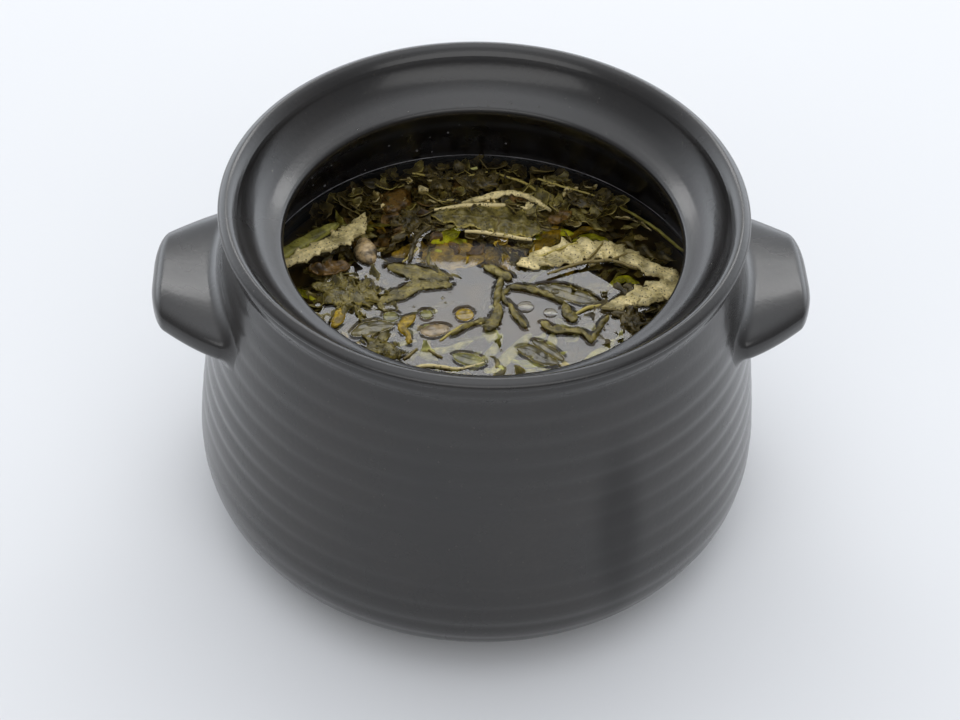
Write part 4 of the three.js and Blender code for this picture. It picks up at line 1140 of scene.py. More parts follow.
def curled_bits(seed, long, wide):
    """A handful of curled shreds, long by wide in millimetres, of a few dozen faces each."""
    draw = draw_from(seed)
    bits = []
    for _ in range(5):
        t, v = np.linspace(0, 1, 7)[:, None], np.linspace(-1, 1, 4)[None, :]
        bow, twist, lift = 0.5 * (draw() - 0.5), 1.6 * (draw() - 0.5), 0.25 + 0.35 * draw()
        half = wide * np.sin(np.pi * (0.12 + 0.8 * t)) * (1 + 0.35 * np.sin(9 * t + 6 * draw()))
        x = long * (t - 0.5) + 0 * v
        y = long * bow * (1 - 4 * (t - 0.5) ** 2) + half * v
        z = long * lift * (t - 0.3) ** 2 + half * v * twist * (t - 0.5) + 0.25 * wide * v ** 2
        upper = np.stack([x, y, z + 0.05 * wide], -1).reshape(-1, 3)
        lower = np.stack([x, y, z - 0.05 * wide], -1).reshape(-1, 3)
        rows, cols = 7, 4
        faces = [face[::-1] for face in grid_faces(rows, cols)] + grid_faces(rows, cols, rows * cols)
        border = list(range(cols)) + [r * cols + cols - 1 for r in range(1, rows)]
        border += [(rows - 1) * cols + j for j in range(cols - 2, -1, -1)]
        border += [r * cols for r in range(rows - 2, 0, -1)]
        shift = rows * cols
        faces += [[b, a, a + shift, b + shift] for a, b in zip(border, border[1:] + border[:1])]
        uv = np.stack(np.broadcast_arrays(t * long / 10, (v + 1) / 2), -1).reshape(-1, 2)
        bits.append((np.vstack([upper, lower]), faces, np.vstack([uv, uv])))
    return bits


# How thickly each finish is ruffled with shreds, in shreds for a square metre of its skin.
RUFFLES = {"pale": 15000, "wilted": 42000, "dark": 52000, "brown": 22000, "amber": 8000, "pink": 9000}


def lay_greens(names):
    """Lays the floating pieces of these names; each stands for the node of its name."""
    bits = bits_of("ruffle_bits", curled_bits(5, 3.8, 1.0))
    for name, kind, how, shape in FLOATING:
        if name not in names:
            continue
        make = FINISHES[kind]
        mesh = greens_mesh(how, shape, make)
        piece = make_piece(f"{name}_wet", mesh["points"], mesh["faces"], greens_material(kind), mesh["uv"])
        if kind in RUFFLES:
            piece = grown(
                f"{name}_ruffled", piece, "Scatter", Density=float(RUFFLES[kind]), Smallest=0.45,
                Largest=1.15, Tilt=0.5, Seed=shape.get("seed", 1) if how != "sprig" else 77,
                Keep_surface=True, Bits=bits, Material=greens_material(kind))
        settle(piece, make["slot"], name)
        FLOAT_OUTLINES.append(mesh["outline"])
    clear_bits(bits)


def strewn_patch(name, x, y, wide, deep, height):
    """A flat oval patch at a height, as far as it lies inside the pot."""
    rows, cols = 36, 64
    u, v = np.meshgrid(np.linspace(-1, 1, cols), np.linspace(-1, 1, rows))
    points = np.stack([x + wide * u, y + deep * v, np.full_like(u, height)], -1).reshape(-1, 3)
    faces = []
    for face in grid_faces(rows, cols):
        middle = points[face].mean(0)
        oval = ((middle[0] - x) / wide) ** 2 + ((middle[1] - y) / deep) ** 2
        if oval < 1 and math.hypot(middle[0], middle[1]) < STREWN_REACH:
            faces.append(face[::-1])
    return make_piece(name, points, faces, blank_material(f"{name} cells")[0])


# Shreds strewn in the broth: finish, patch (middle x, y and half-widths), how far under the
# surface the highest and the lowest lie, shreds for a square metre, and smallest and largest.
STREWN = [
    ("wilted", (4, 78, 84, 24), 0.2, 4.0, 30000, 0.8, 2.3),
    ("dark", (0, 76, 92, 27), 0.4, 5.5, 34000, 0.9, 2.6),
    ("pale", (2, 72, 64, 22), 0.2, 2.6, 7500, 0.7, 1.8),
    ("pale", (-42, -22, 24, 16), 0.2, 2.0, 12000, 0.5, 1.2),
    ("brown", (-22, 62, 60, 28), 0.6, 3.6, 8000, 0.7, 1.9),
    ("amber", (-14, 36, 34, 14), 1.4, 4.6, 12000, 0.8, 2.1),
    ("wilted", (-66, 2, 28, 26), -0.1, 2.4, 42000, 0.6, 1.8),
    ("wilted", (66, 14, 24, 26), 0.5, 4.0, 26000, 0.7, 2.0),
    ("dark", (68, -10, 22, 20), 0.1, 3.0, 40000, 0.6, 1.8),
    ("straw", (2, -26, 70, 26), 1.2, 4.2, 8000, 0.6, 2.0),
    ("wilted", (0, -72, 76, 26), 0.2, 3.6, 34000, 0.8, 2.4),
]


def strew_shreds():
    """Strews shreds through the broth in bands, thickest at the back."""
    level = bpy.context.scene.stew_broth.level / MM
    bits = bits_of("strewn_bits", curled_bits(23, 5.6, 1.5))
    for row, (kind, (x, y, wide, deep), high, low, density, small, large) in enumerate(STREWN):
        patch = strewn_patch(f"patch_{row}", x, y, wide, deep, level - high)
        slug = kind.replace(" ", "_")
        piece = grown(
            f"strewn_{slug}_{row}", patch, "Scatter", Density=float(density), Smallest=small, Largest=large,
            Tilt=0.45, Deepest=(low - high) * MM, Seed=31 + row, Bits=bits,
            Material=sunken_material(kind))
        settle(piece, FINISHES[kind]["slot"])
    clear_bits(bits)


# Thin stems and twigs: finish, and paths of x, y, height over the broth and thickness.
TWIGS = [
    ("dark", [[62, 42, -0.3, 0.5], [72, 33, -0.2, 0.6], [82, 22, -0.4, 0.5]]),
    ("dark", [[60, 38, -0.4, 0.4], [71, 29, -0.3, 0.45], [80, 20, -0.5, 0.4]]),
    ("stalk", [[68, 68, -0.9, 0.8], [82, 54, -0.7, 1.0], [95, 36, -0.8, 0.9]]),
    ("wilted", [[-19, -24, 0.2, 0.5], [-13, -18, 0.3, 0.7], [-8, -14, 0.3, 0.7], [0, -13, 0.3, 0.6]]),
    ("dark", [[-35, -36, 0.2, 0.5], [-32, -33, 0.3, 0.7], [-29, -29, 0.2, 0.5]]),
    ("dark", [[-24, -30, 0.2, 0.5], [-21, -33, 0.3, 0.6], [-18, -35, 0.2, 0.5]]),
    ("pale", [[-36, -43, 0.2, 0.6], [-24, -40, 0.3, 0.9], [-12, -42, 0.3, 0.7], [0, -38, 0.2, 0.5]]),
    ("wilted", [[-35, 28, 0.1, 0.4], [-31, 33, 0.2, 0.5], [-28, 38, 0.1, 0.4]]),
    ("dark", [[-40, 45, 0.1, 0.5], [-32, 51, 0.2, 0.6], [-25, 57, 0.2, 0.5]]),
    ("wilted", [[-30, 92, 0.0, 0.5], [-12, 88, 0.2, 0.6], [6, 93, 0.1, 0.5]]),
    ("wilted", [[10, 92, 0.0, 0.5], [24, 84, 0.3, 0.7], [34, 72, 0.2, 0.5]]),
    ("pale", [[-6, 49, 0.6, 0.7], [4, 48, 0.8, 1.0], [15, 45, 0.8, 1.0], [25, 43, 0.6, 0.7]]),
    ("pale", [[-20, 64, 0.9, 0.7], [-6, 66.5, 1.3, 1.1], [10, 67, 1.3, 1.1], [24, 65, 0.9, 0.8]]),
    ("wilted", [[30, 88, 0.0, 0.5], [46, 80, 0.2, 0.6], [60, 74, 0.1, 0.4]]),
    ("straw", [[-2, 95, -0.1, 0.7], [1, 96, 0.1, 0.8]]),
    ("wilted", [[42, -7, 0.2, 0.6], [48, -3, 0.5, 0.9], [56, 0, 0.3, 0.7]]),
    ("dark", [[31, 18, 1.9, 0.6], [44, 24, 2.3, 0.8], [60, 27, 2.2, 0.8], [72, 22, 1.9, 0.7]]),
    ("dark", [[48, 25, 2.2, 0.5], [54, 33, 2.4, 0.7], [58, 40, 1.8, 0.5]]),
    ("dark", [[60, 27, 2.2, 0.5], [70, 32, 2.1, 0.6], [79, 27, 1.6, 0.5]]),
    ("wilted", [[22, 27, 1.6, 0.5], [34, 33, 2.4, 0.7], [46, 40, 2.0, 0.6]]),
]


def lay_twigs():
    """Lays the thin stems and twigs along their paths, one piece for each finish."""
    level = bpy.context.scene.stew_broth.level / MM
    for kind in dict.fromkeys(row[0] for row in TWIGS):
        points, edges, thickness = [], [], []
        for path in (path for row, path in TWIGS if row == kind):
            smooth = curve_at(path, np.linspace(0, 1, 16))
            edges += [(len(points) + i, len(points) + i + 1) for i in range(len(smooth) - 1)]
            points += [[x, y, level + z] for x, y, z, _ in smooth]
            thickness += [thick * MM for *_, thick in smooth]
        mesh = bpy.data.meshes.new(f"paths_{kind}")
        mesh.from_pydata((np.array(points) * MM).tolist(), edges, [])
        mesh.attributes.new("thickness", "FLOAT", "POINT").data.foreach_set("value", thickness)
        base = bpy.data.objects.new(f"paths_{kind}", mesh)
        bpy.context.scene.collection.objects.link(base)
        piece = grown(f"twigs_{kind}", base, "Stems", Wander=0.0012, Seed=3, Material=greens_material(kind))
        settle(piece, FINISHES[kind]["slot"])


# Greens under the surface: finish, how many, the patch they lie in (middle x, y and
# half-widths), shallowest and deepest, shortest and longest, and widest.
SUNKEN = [
    ("dark", 60, (0, 66, 88, 34), (-0.4, -6), (10, 30), 3.4),
    ("wilted", 64, (4, 62, 86, 34), (-0.2, -4.5), (9, 28), 3.0),
    ("amber", 26, (-8, 48, 70, 30), (-1.4, -6), (8, 22), 3.2),
    ("stalk", 22, (10, 52, 80, 36), (-0.6, -5), (10, 30), 1.8),
    ("pale", 16, (10, 58, 64, 26), (-0.2, -3), (8, 20), 2.0),
    ("wilted", 46, (0, 0, 84, 44), (-2.4, -8), (9, 26), 3.4),
    ("stalk", 20, (4, -36, 70, 30), (-1.6, -6), (14, 34), 2.2),
    ("wilted", 50, (0, -66, 80, 32), (-0.4, -6), (9, 28), 3.4),
    ("dark", 30, (0, -62, 84, 34), (-0.4, -6), (9, 26), 3.0),
    ("pale", 10, (0, -66, 70, 26), (-0.3, -3), (9, 22), 2.4),
]
# How far from the axis sunken greens and strewn shreds may lie, in millimetres.
SUNKEN_REACH = 99
STREWN_REACH = 101

# Sunken leaves and stalks that show by themselves: finish, depth under the surface, spine.
SHOWN_SUNKEN = [
    ("glow", -1.0, [[-22, 42, 2.2], [-16, 46, 4.2], [-8, 52, 2.2]]),
    ("glow", -1.8, [[-20, 35, 2], [-13, 40, 3.8], [-5, 44, 2]]),
    ("amber", -1.6, [[-26, 31, 6], [-11, 34, 9.5], [3, 32, 5]]),
    ("amber", -2.2, [[-40, 34, 2], [-32, 37, 4], [-26, 44, 2.4]]),
    ("straw", -1.6, [[3, -44, 1.8], [12, -32, 3], [22, -18, 2]]),
    ("straw", -1.8, [[27, -36, 1.6], [30, -27, 2.6], [32, -18, 1.6]]),
    ("straw", -1.8, [[40, -42, 1.6], [50, -32, 2.4], [60, -22, 1.6]]),
    ("straw", -2.2, [[-6, -42, 1.6], [4, -30, 2.2], [9, -18, 1.4]]),
    ("straw", -2.4, [[14, -44, 1.6], [24, -42, 2.6], [36, -44, 1.6]]),
    ("glow", -1.2, [[12, -36, 1.4], [24, -38, 2.4], [37, -30, 1.4]]),
    ("glow", -1.6, [[26, 44, 1.6], [34, 50, 3.2], [45, 49, 1.8]]),
    ("glow", -2.0, [[44, 44, 1.4], [52, 47, 2.4], [61, 44, 1.4]]),
    ("amber", -1.2, [[24, 34, 2.4], [32, 44, 4.6], [38, 54, 2.4]]),
    ("glow", -1.6, [[58, 12, 1.4], [66, 18, 2.2], [73, 14, 1.4]]),
    ("glow", -1.4, [[-86, 12, 1.4], [-76, 5, 2.2], [-70, 1, 1.4]]),
    ("straw", -3.0, [[-30, -30, 1.6], [-16, -28, 2.2], [-4, -22, 1.6]]),
]


def sink_greens(seed=71):
    """Tangles of greens just under the surface, one piece for each finish."""
    tangles = {}
    for row, (kind, count, (x, y, wide, deep), (high, low), (short, long), widest) in enumerate(SUNKEN):
        draw = draw_from(seed + row)
        while count:
            cx, cy = x + wide * (2 * draw() - 1), y + deep * (2 * draw() - 1)
            length, heading = short + (long - short) * draw() ** 1.5, math.pi * draw()
            bow = length * 0.5 * (draw() - 0.5)
            half = widest * (0.3 + 0.7 * draw())
            dx, dy = 0.5 * length * math.cos(heading), 0.5 * length * math.sin(heading)
            turn = 2 * bow / length
            spine = [[cx - dx, cy - dy, 0.5 * half],
                     [cx - 0.3 * dx - turn * dy, cy - 0.3 * dy + turn * dx, half],
                     [cx + 0.4 * dx - turn * dy, cy + 0.4 * dy + turn * dx, 0.9 * half],
                     [cx + dx, cy + dy, 0.3 * half]]
            depth = high + (low - high) * draw()
            if max(math.hypot(px, py) + w for px, py, w in spine) > SUNKEN_REACH:
                continue
            shape = dict(spine=spine, thick=0.9, lift=depth, wave=0.9, seed=int(1e4 * draw()), rows=6)
            tangles.setdefault(kind, []).append(ribbon_mesh(shape, FINISHES[kind], 1.1))
            count -= 1
    for row, (kind, depth, spine) in enumerate(SHOWN_SUNKEN):
        shape = dict(spine=spine, thick=0.9, lift=depth, wave=0.4, seed=400 + row, rows=6)
        tangles.setdefault(kind, []).append(ribbon_mesh(shape, FINISHES[kind], 0.8))
    for kind, meshes in tangles.items():
        mesh = joined_greens(meshes)
        material = sunken_material(kind)
        piece = make_piece(f"sunken_{kind}", mesh["points"], mesh["faces"], material, mesh["uv"])
        settle(piece, FINISHES[kind]["slot"])


# ----------------------------------------------------------------------- broth

def broth_material():
    """Clear tinted broth that mirrors the light like thin oil."""
    look = bpy.context.scene.stew_broth
    material, tree, shader = blank_material("dark broth")
    cloud = use_group(tree, "Mottle", Size=0.02, Contrast=1.6)["Mask"]
    tinted = blend_of(tree, cloud, rgba(look.tint, 0.88), rgba(look.tint))
    tree.links.new(tinted, shader.inputs["Base Color"])
    shader.inputs["Roughness"].default_value = 0.02
    shader.inputs["IOR"].default_value = 1.45
    shader.inputs["Transmission Weight"].default_value = 1.0
    return material


def depths_material():
    look = bpy.context.scene.stew_broth
    material, tree, shader = blank_material("broth depths")
    cloud = use_group(tree, "Mottle", Size=0.015, Contrast=2.5)["Mask"]
    tree.links.new(
        blend_of(tree, cloud, rgba(look.depths, 0.4), rgba(look.depths, 2.2)), shader.inputs["Base Color"])
    shader.inputs["Roughness"].default_value = 0.8
    return material


def pour_broth():
    """The broth with its surface drawn up at the wall and round everything that floats."""
    look = bpy.context.scene.stew_broth
    level = look.level / MM
    rows, cols, reach = 176, 512, 104.9
    radius = np.linspace(0, 1, rows + 1)[1:, None] * reach
    angle = np.linspace(0, 2 * np.pi, cols, endpoint=False)[None, :]
    plan = np.stack([radius * np.cos(angle), radius * np.sin(angle)], -1)
    outline = np.vstack(FLOAT_OUTLINES)
    tree = KDTree(len(outline))
    for k, (x, y, _) in enumerate(outline):
        tree.insert((x, y, 0), k)
    tree.balance()
    near = np.array([[tree.find((x, y, 0))[2] for x, y in row] for row in plan])
    at_leaves = look.leaf_climb / MM * np.exp(-near / 0.6)
    at_wall = look.wall_climb / MM * np.exp(-(reach - radius) / 1.6)
    height = level + at_leaves + at_wall
    top = np.concatenate([plan, height[..., None]], -1)
    wall = np.array([(105.2, 98), (110.6, 79), (115.6, 48), (112, 29), (97.5, 15.4), (71.6, 12.4)])
    below = turned_rings(wall, cols)
    points, faces = closed_tube(np.concatenate([top, below]))
    points[-2] = [0, 0, level]
    broth = make_piece("broth_liquid", points, faces, broth_material())
    settle(broth, "broth", "broth")
    murk_top = level - look.clear_depth / MM
    plan_rings = turned_rings(np.array([(r, murk_top) for r in (20, 60, 95)]), 96)
    rolling = 1.2 * noise_at(plan_rings, 18, 6)
    plan_rings[..., 2] += rolling
    below = np.array([(104, murk_top - 6), (109, 79), (114, 48), (110, 29), (96, 16.5), (70, 13.5)])
    lower = turned_rings(below, 96)
    points, faces = closed_tube(np.concatenate([plan_rings, lower]))
    murk = make_piece("broth_murk", points, faces, depths_material())
    settle(murk, "broth")


def round_bits(name, flat):
    """Little beads for the Scatter tree, squashed to this share of their width."""
    beads = []
    for stretch in (1.0, 1.3, 0.8):
        polar = np.linspace(0, np.pi, 8)[1:-1, None]
        round_ = np.linspace(0, 2 * np.pi, 10, endpoint=False)[None, :]
        rings = np.stack(np.broadcast_arrays(
            stretch * np.sin(polar) * np.cos(round_), np.sin(polar) * np.sin(round_),
            flat * np.cos(polar)), -1)
        points, faces = closed_tube(rings)
        beads.append((points, faces, None))
    return bits_of(name, beads)


def band_of_seat(name, low, high, start, end):
    """A strip of the lip's seat or the inner wall between two heights, from one bearing to another."""
    size = pot_sizes()
    wall = rim_and_inside(size)
    inside = wall[np.argmax(wall[:, 1]):]
    heights = np.linspace(low, high, 14)
    radius = np.interp(heights, inside[::-1, 1], inside[::-1, 0])
    angle = np.radians(np.linspace(start, end, 40))[None, :]
    points = np.stack(np.broadcast_arrays(
        radius[:, None] * np.cos(angle), radius[:, None] * np.sin(angle), heights[:, None] + 0.04), -1)
    faces = grid_faces(14, 40)
    middle = points.reshape(-1, 3)[faces[0]]
    facing = np.cross(middle[1] - middle[0], middle[2] - middle[0])
    inward = np.dot(facing, [-middle[0][0], -middle[0][1], 0]) > 0
    faces = faces if inward else [face[::-1] for face in faces]
    return make_piece(name, points.reshape(-1, 3), faces, blank_material(f"{name} cells")[0])


def drop_material():
    material, tree, shader = blank_material("clear drops")
    wet = use_group(tree, "Mottle", Size=0.004, Contrast=1.0)["Mask"]
    tree.links.new(blend_of(tree, wet, (0.9, 0.85, 0.7, 1), (1, 1, 0.96, 1)), shader.inputs["Base Color"])
    shader.inputs["Roughness"].default_value = 0.03
    shader.inputs["IOR"].default_value = 1.35
    shader.inputs["Transmission Weight"].default_value = 1.0
    return material


def specks_and_glint_material():
    """Pale dried specks on the wall; the same colour paints the pale ring at the broth's edge, a painted
    highlight standing for the bright line of the broth drawn up at the wall.
    """
    material, tree, shader = blank_material("dried specks")
    spots = use_group(tree, "Mottle", Size=0.003, Contrast=2.0)["Mask"]
    tree.links.new(
        blend_of(tree, spots, (0.10, 0.095, 0.10, 1), (0.34, 0.33, 0.34, 1)), shader.inputs["Base Color"])
    shader.inputs["Roughness"].default_value = 0.35
    return material


# Where drops sit on the seat: lowest and highest, from and to bearing in degrees, drops for a
# square metre, and smallest and largest radius in metres.
SEAT_DROPS = [
    (146.6, 149.5, 66, 116, 60000, 0.00012, 0.00042),
    (148.5, 151.5, 128, 196, 26000, 0.00010, 0.00028),
    (154.0, 160.0, 42, 60, 14000, 0.00014, 0.00050),
    (147.0, 156.0, 4, 40, 12000, 0.00010, 0.00035),
    (147.0, 160.0, 0, 360, 1800, 0.00010, 0.00026),
]
# Dried specks on the inner wall, by the same measures.
WALL_SPECKS = [
    (108.5, 136.0, 60, 150, 2600, 0.00014, 0.00060),
    (108.5, 128.0, 96, 140, 4200, 0.00014, 0.00080),
]
# Bubbles and grey discs on the broth: x, y, radius and height in millimetres.
BUBBLES = [(34, 8, 2.0, 0.9), (20, -2, 3.8, 0.25), (31, -6, 3.2, 0.25), (-17, 4, 0.9, 0.4),
           (-14, 8, 0.7, 0.35), (-16, 1, 0.6, 0.3), (38, 10, 0.8, 0.4),
           (8, -30, 0.7, 0.3), (-30, -2, 0.7, 0.3)]


def scatter_drops():
    """Sets the drops on the seat, the dried specks on the inner wall and a painted highlight: a pale ring
    where the broth is drawn up at the wall.
    """
    beads, clear, specks_and_glint = round_bits("bead_bits", 0.5), drop_material(), specks_and_glint_material()
    for name, rows, material, slot in (
            ("seat_drops", SEAT_DROPS, clear, "broth"), ("wall_specks", WALL_SPECKS, specks_and_glint, "stoneware")):
        for i, (low, high, start, end, density, small, large) in enumerate(rows):
            band = band_of_seat(f"{name}_band_{i}", low, high, start, end)
            settle(grown(
                f"{name}_{i}", band, "Scatter", Density=float(density), Smallest=small * 1000,
                Largest=large * 1000, Tilt=0.1, Seed=90 + i, Bits=beads, Material=material), slot)
    clear_bits(beads)
    # Painted highlight: a pale ring at the top of the broth's rise at the wall, standing for the bright line
    # that the drawn-up broth shows.
    level = bpy.context.scene.stew_broth.level / MM
    across = np.linspace(0, 2 * np.pi, 10, endpoint=False)
    around = np.linspace(0, 2 * np.pi, 360, endpoint=False)[:, None]
    circle = np.stack([40 * np.cos(around), 40 * np.sin(around), 0 * around], -1)
    thick = 0.24 + 0.10 * noise_at(circle, 9, 2)
    radius, height = 104.45 + thick * np.cos(across), level + 1.35 + thick * np.sin(across)
    ring = np.stack([radius * np.cos(around), radius * np.sin(around), height], -1)
    meniscus_glint = make_piece("tide_line", ring.reshape(-1, 3), ring_faces(360, 10), specks_and_glint)
    settle(meniscus_glint, "broth")


def ring_faces(rows, cols):
    """Outward faces of a ring that closes both ways."""
    return [[i * cols + j, ((i + 1) % rows) * cols + j, ((i + 1) % rows) * cols + (j + 1) % cols,
             i * cols + (j + 1) % cols] for i in range(rows) for j in range(cols)]


def float_bubbles():
    """Bubbles and thin grey discs lying on the broth."""
    level = bpy.context.scene.stew_broth.level / MM
    parts = []
    for x, y, radius, height in BUBBLES:
        polar = np.linspace(0, np.pi, 20)[1:-1, None]
        round_ = np.linspace(0, 2 * np.pi, 32, endpoint=False)[None, :]
        rings = np.stack(np.broadcast_arrays(
            x + radius * np.sin(polar) * np.cos(round_), y + radius * np.sin(polar) * np.sin(round_),
            level + 0.1 + height * np.cos(polar)), -1)
        parts.append(closed_tube(rings))
    points, faces = joined(parts)
    settle(make_piece("bubbles", points, faces, drop_material()), "broth")


def turned_rings(profile, segments):
    """Rings of points from a profile turned about the axis."""
    angle = np.linspace(0, 2 * np.pi, segments, endpoint=False)
    radius, height = profile[:, :1], profile[:, 1:]
    return np.stack(np.broadcast_arrays(
        radius * np.cos(angle), radius * np.sin(angle), height), -1)


# ----------------------------------------------------------------------- stage

LENS, SENSOR = 86.25, 36.0
CAMERA_PLACE = Vector((-0.0438, -0.7584, 0.8088))
LOOK_DOWN, LOOK_ASIDE, ROLL = 44.188, 3.35, 2.30


def place_camera():
    """The camera at the height, distance and slight roll that the pot is seen from."""
    down, aside, roll = (math.radians(v) for v in (LOOK_DOWN, LOOK_ASIDE, ROLL))
    level_right = Vector((math.cos(aside), -math.sin(aside), 0))
    forward = Vector((math.sin(aside) * math.cos(down), math.cos(aside) * math.cos(down), -math.sin(down)))
    level_up = level_right.cross(forward)
    right = level_right * math.cos(roll) + level_up * math.sin(roll)
    up = level_up * math.cos(roll) - level_right * math.sin(roll)
    turn = Matrix((right, up, -forward)).transposed().to_4x4()
    data = bpy.data.cameras.new("view_of_pot")
    data.lens, data.sensor_width = LENS, SENSOR
    camera = bpy.data.objects.new("view_of_pot", data)
    bpy.context.scene.collection.objects.link(camera)
    camera.matrix_world = Matrix.Translation(CAMERA_PLACE) @ turn
    bpy.context.scene.camera = camera


def add_area_light(name, power, place, size, look_at):
    """A rectangular light that faces look_at."""
    data = bpy.data.lights.new(name, "AREA")
    data.shape, data.energy = "RECTANGLE", power
    data.size, data.size_y = size
    light = bpy.data.objects.new(name, data)
    bpy.context.scene.collection.objects.link(light)
    light.location = place
    light.rotation_euler = (Vector(look_at) - Vector(place)).to_track_quat("-Z", "Y").to_euler()
    return light


def set_stage():
    look = bpy.context.scene.stew_stage
    place_camera()
    world = bpy.data.worlds.new("even sky")
    bpy.context.scene.world = world
    world.use_nodes = True
    tree = world.node_tree
    direction = node(tree, "ShaderNodeTexCoord").outputs["Generated"]
    towards = node(tree, "ShaderNodeSeparateXYZ", {0: direction}).outputs["Y"]
    back = ranged(tree, towards, 0.0, 1.0, -0.6, 0.8)
    glow = blend_of(tree, back, (0.30, 0.31, 0.33, 1.0), (0.36, 0.37, 0.39, 1.0))
    for side in (-1, 1):
        aim = Vector((0.65 * side, 0.74, 0.20)).normalized()
        toward = node(tree, "ShaderNodeVectorMath", {0: direction, 1: aim}, operation="DOT_PRODUCT")
        facing = node(tree, "ShaderNodeMath", {0: toward.outputs["Value"], 1: 0.0}, operation="MAXIMUM")
        lobe = node(tree, "ShaderNodeMath", {0: facing.outputs[0], 1: 8.0}, operation="POWER").outputs[0]
        glow = blend_of(tree, lobe, glow, (2.55, 2.68, 2.85, 1.0))
    up = node(tree, "ShaderNodeSeparateXYZ", {0: direction}).outputs["Z"]
    high = node(tree, "ShaderNodeMath", {0: up, 1: 0.0}, operation="MAXIMUM").outputs[0]
    overhead = node(tree, "ShaderNodeMath", {0: high, 1: 5.0}, operation="POWER").outputs[0]
    glow = blend_of(tree, overhead, glow, (1.75, 1.80, 1.88, 1.0))
    # A bright band low behind the pot, which the near part of the seat mirrors.
    horizon = times(tree, between(tree, up, 0.30, 0.12), between(tree, towards, 0.72, 0.95))
    glow = blend_of(tree, horizon, glow, (2.0, 2.1, 2.25, 1.0))
    sky = tree.nodes["Background"]
    tree.links.new(glow, sky.inputs["Color"])
    sky.inputs["Strength"].default_value = look.sky
    bpy.context.scene.view_settings.view_transform = "Standard"
    depth, width = 0.5, 2.2
    middle = look.softbox_far - depth / 2
    add_area_light("overhead_softbox", look.softbox_power, (0.1, middle, look.softbox_height),
                   (width, depth), (0.1, middle, 0))
    add_area_light("front_panel", look.front_power, (0, -1.55, 1.35), (3.4, 0.85), (0, 0, 0.15))
    material, tree, shader = blank_material("pale floor")
    soft = use_group(tree, "Mottle", Size=0.6, Contrast=0.6)["Mask"]
    tree.links.new(
        blend_of(tree, soft, rgba(look.floor, 0.97), rgba(look.floor, 1.02)), shader.inputs["Base Color"])
    shader.inputs["Roughness"].default_value = 0.7
    half = 6000
    floor = make_piece(
        "pale_floor", [(-half, -half, -0.2), (half, -half, -0.2), (half, half, -0.2), (-half, half, -0.2)],
        [[0, 1, 2, 3]], material)


# ------------------------------------------------------------------- operators

class STEW_OT_stage(bpy.types.Operator):
    """Sets the camera, the floor and the lights"""
    bl_idname = "stew.stage"
    bl_label = "Set the Stage"

    def execute(self, context):
        set_stage()
        return {"FINISHED"}


class STEW_OT_pot(bpy.types.Operator):
    """Turns the pot with its lip, seat, throwing rings and two handles"""
    bl_idname = "stew.pot"
    bl_label = "Turn the Pot"

    def execute(self, context):
        build_pot()
        return {"FINISHED"}


class STEW_OT_stalks(bpy.types.Operator):
    """Lays the stalks and ribs that float on the broth"""
    bl_idname = "stew.stalks"
    bl_label = "Lay the Stalks"

    def execute(self, context):
        lay_greens(STALKS)
        return {"FINISHED"}


class STEW_OT_leaves(bpy.types.Operator):
    """Lays the single leaves and sprigs that float on the broth"""
    bl_idname = "stew.leaves"
    bl_label = "Lay the Leaves"

    def execute(self, context):
        lay_greens([row[0] for row in FLOATING if row[0].startswith(("leaf_", "sprig_"))])
        return {"FINISHED"}


class STEW_OT_pads(bpy.types.Operator):
    """Lays the smooth round pads"""
    bl_idname = "stew.pads"
    bl_label = "Lay the Pads"

    def execute(self, context):
        lay_greens([row[0] for row in FLOATING if row[0].startswith("pad_")])
        return {"FINISHED"}


class STEW_OT_clumps(bpy.types.Operator):
    """Lays the clumps of wilted bits"""
    bl_idname = "stew.clumps"
    bl_label = "Lay the Clumps"

    def execute(self, context):
        lay_greens([row[0] for row in FLOATING if row[0].startswith("clump_")])
        return {"FINISHED"}


class STEW_OT_lumps(bpy.types.Operator):
    """Lays the soft lumps"""
    bl_idname = "stew.lumps"
    bl_label = "Lay the Lumps"

    def execute(self, context):
        lay_greens([row[0] for row in FLOATING if row[0].startswith("lump_")])
        return {"FINISHED"}


class STEW_OT_twigs(bpy.types.Operator):
    """Lays thin stems and twigs along their paths"""
    bl_idname = "stew.twigs"
    bl_label = "Lay the Twigs"

    def execute(self, context):
        lay_twigs()
        return {"FINISHED"}


class STEW_OT_shreds(bpy.types.Operator):
    """Strews shreds of leaf through the broth"""
    bl_idname = "stew.shreds"
    bl_label = "Strew the Shreds"

    def execute(self, context):
        strew_shreds()
        return {"FINISHED"}


class STEW_OT_sunken(bpy.types.Operator):
    """Fills the broth under its surface with tangles of sunken greens"""
    bl_idname = "stew.sunken"
    bl_label = "Sink the Greens"

    def execute(self, context):
        sink_greens()
        return {"FINISHED"}


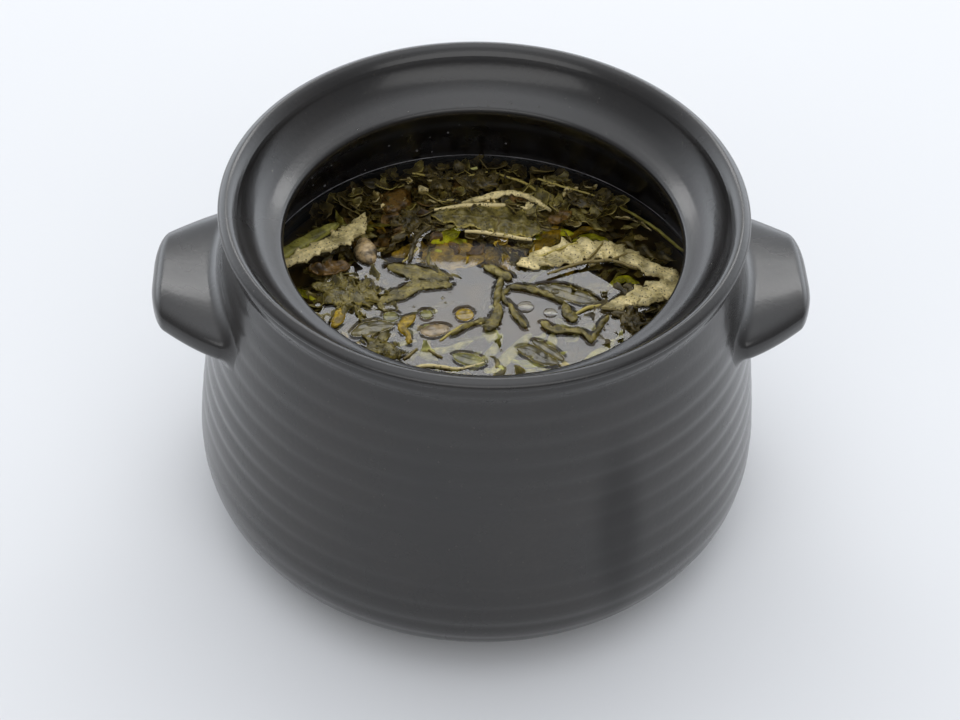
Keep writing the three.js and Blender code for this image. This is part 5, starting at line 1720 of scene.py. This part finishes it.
class STEW_OT_broth(bpy.types.Operator):
    """Pours the broth up to its level, drawn up round what floats in it"""
    bl_idname = "stew.broth"
    bl_label = "Pour the Broth"

    def execute(self, context):
        if not FLOAT_OUTLINES:
            raise RuntimeError("lay the greens before pouring the broth")
        pour_broth()
        return {"FINISHED"}


class STEW_OT_drops(bpy.types.Operator):
    """Sets drops on the seat, dried specks on the wall and bubbles on the broth"""
    bl_idname = "stew.drops"
    bl_label = "Set the Drops"

    def execute(self, context):
        scatter_drops()
        float_bubbles()
        return {"FINISHED"}


STEPS = (STEW_OT_stage, STEW_OT_pot, STEW_OT_stalks, STEW_OT_leaves, STEW_OT_pads, STEW_OT_clumps,
         STEW_OT_lumps, STEW_OT_twigs, STEW_OT_shreds, STEW_OT_sunken, STEW_OT_broth, STEW_OT_drops)


class STEW_PT_panel(bpy.types.Panel):
    """Settings and steps of the pot of stewed greens"""
    bl_idname = "STEW_PT_panel"
    bl_label = "Stew Pot"
    bl_space_type = "VIEW_3D"
    bl_region_type = "UI"
    bl_category = "Stew Pot"

    def draw(self, context):
        for group in SETTINGS:
            box = self.layout.box()
            for key in SETTINGS[group].__annotations__:
                box.prop(getattr(context.scene, group), key)
        for step in STEPS:
            self.layout.operator(step.bl_idname)


SETTINGS = {
    "stew_pot": StewPotSizes, "stew_broth": StewBrothLook, "stew_greens": StewGreensLook,
    "stew_stage": StewStageLook}


def register():
    for group, kind in SETTINGS.items():
        bpy.utils.register_class(kind)
        setattr(bpy.types.Scene, group, PointerProperty(type=kind))
    for kind in (*STEPS, STEW_PT_panel):
        bpy.utils.register_class(kind)


def unregister():
    for kind in (STEW_PT_panel, *reversed(STEPS)):
        bpy.utils.unregister_class(kind)
    for group, kind in SETTINGS.items():
        delattr(bpy.types.Scene, group)
        bpy.utils.unregister_class(kind)


def main():
    register()
    build_shared_groups()
    build_fibre_group()
    build_scatter_tree()
    build_stem_tree()
    for step in STEPS:
        group, name = step.bl_idname.split(".")
        getattr(getattr(bpy.ops, group), name)()


if __name__ == "__main__":
    main()
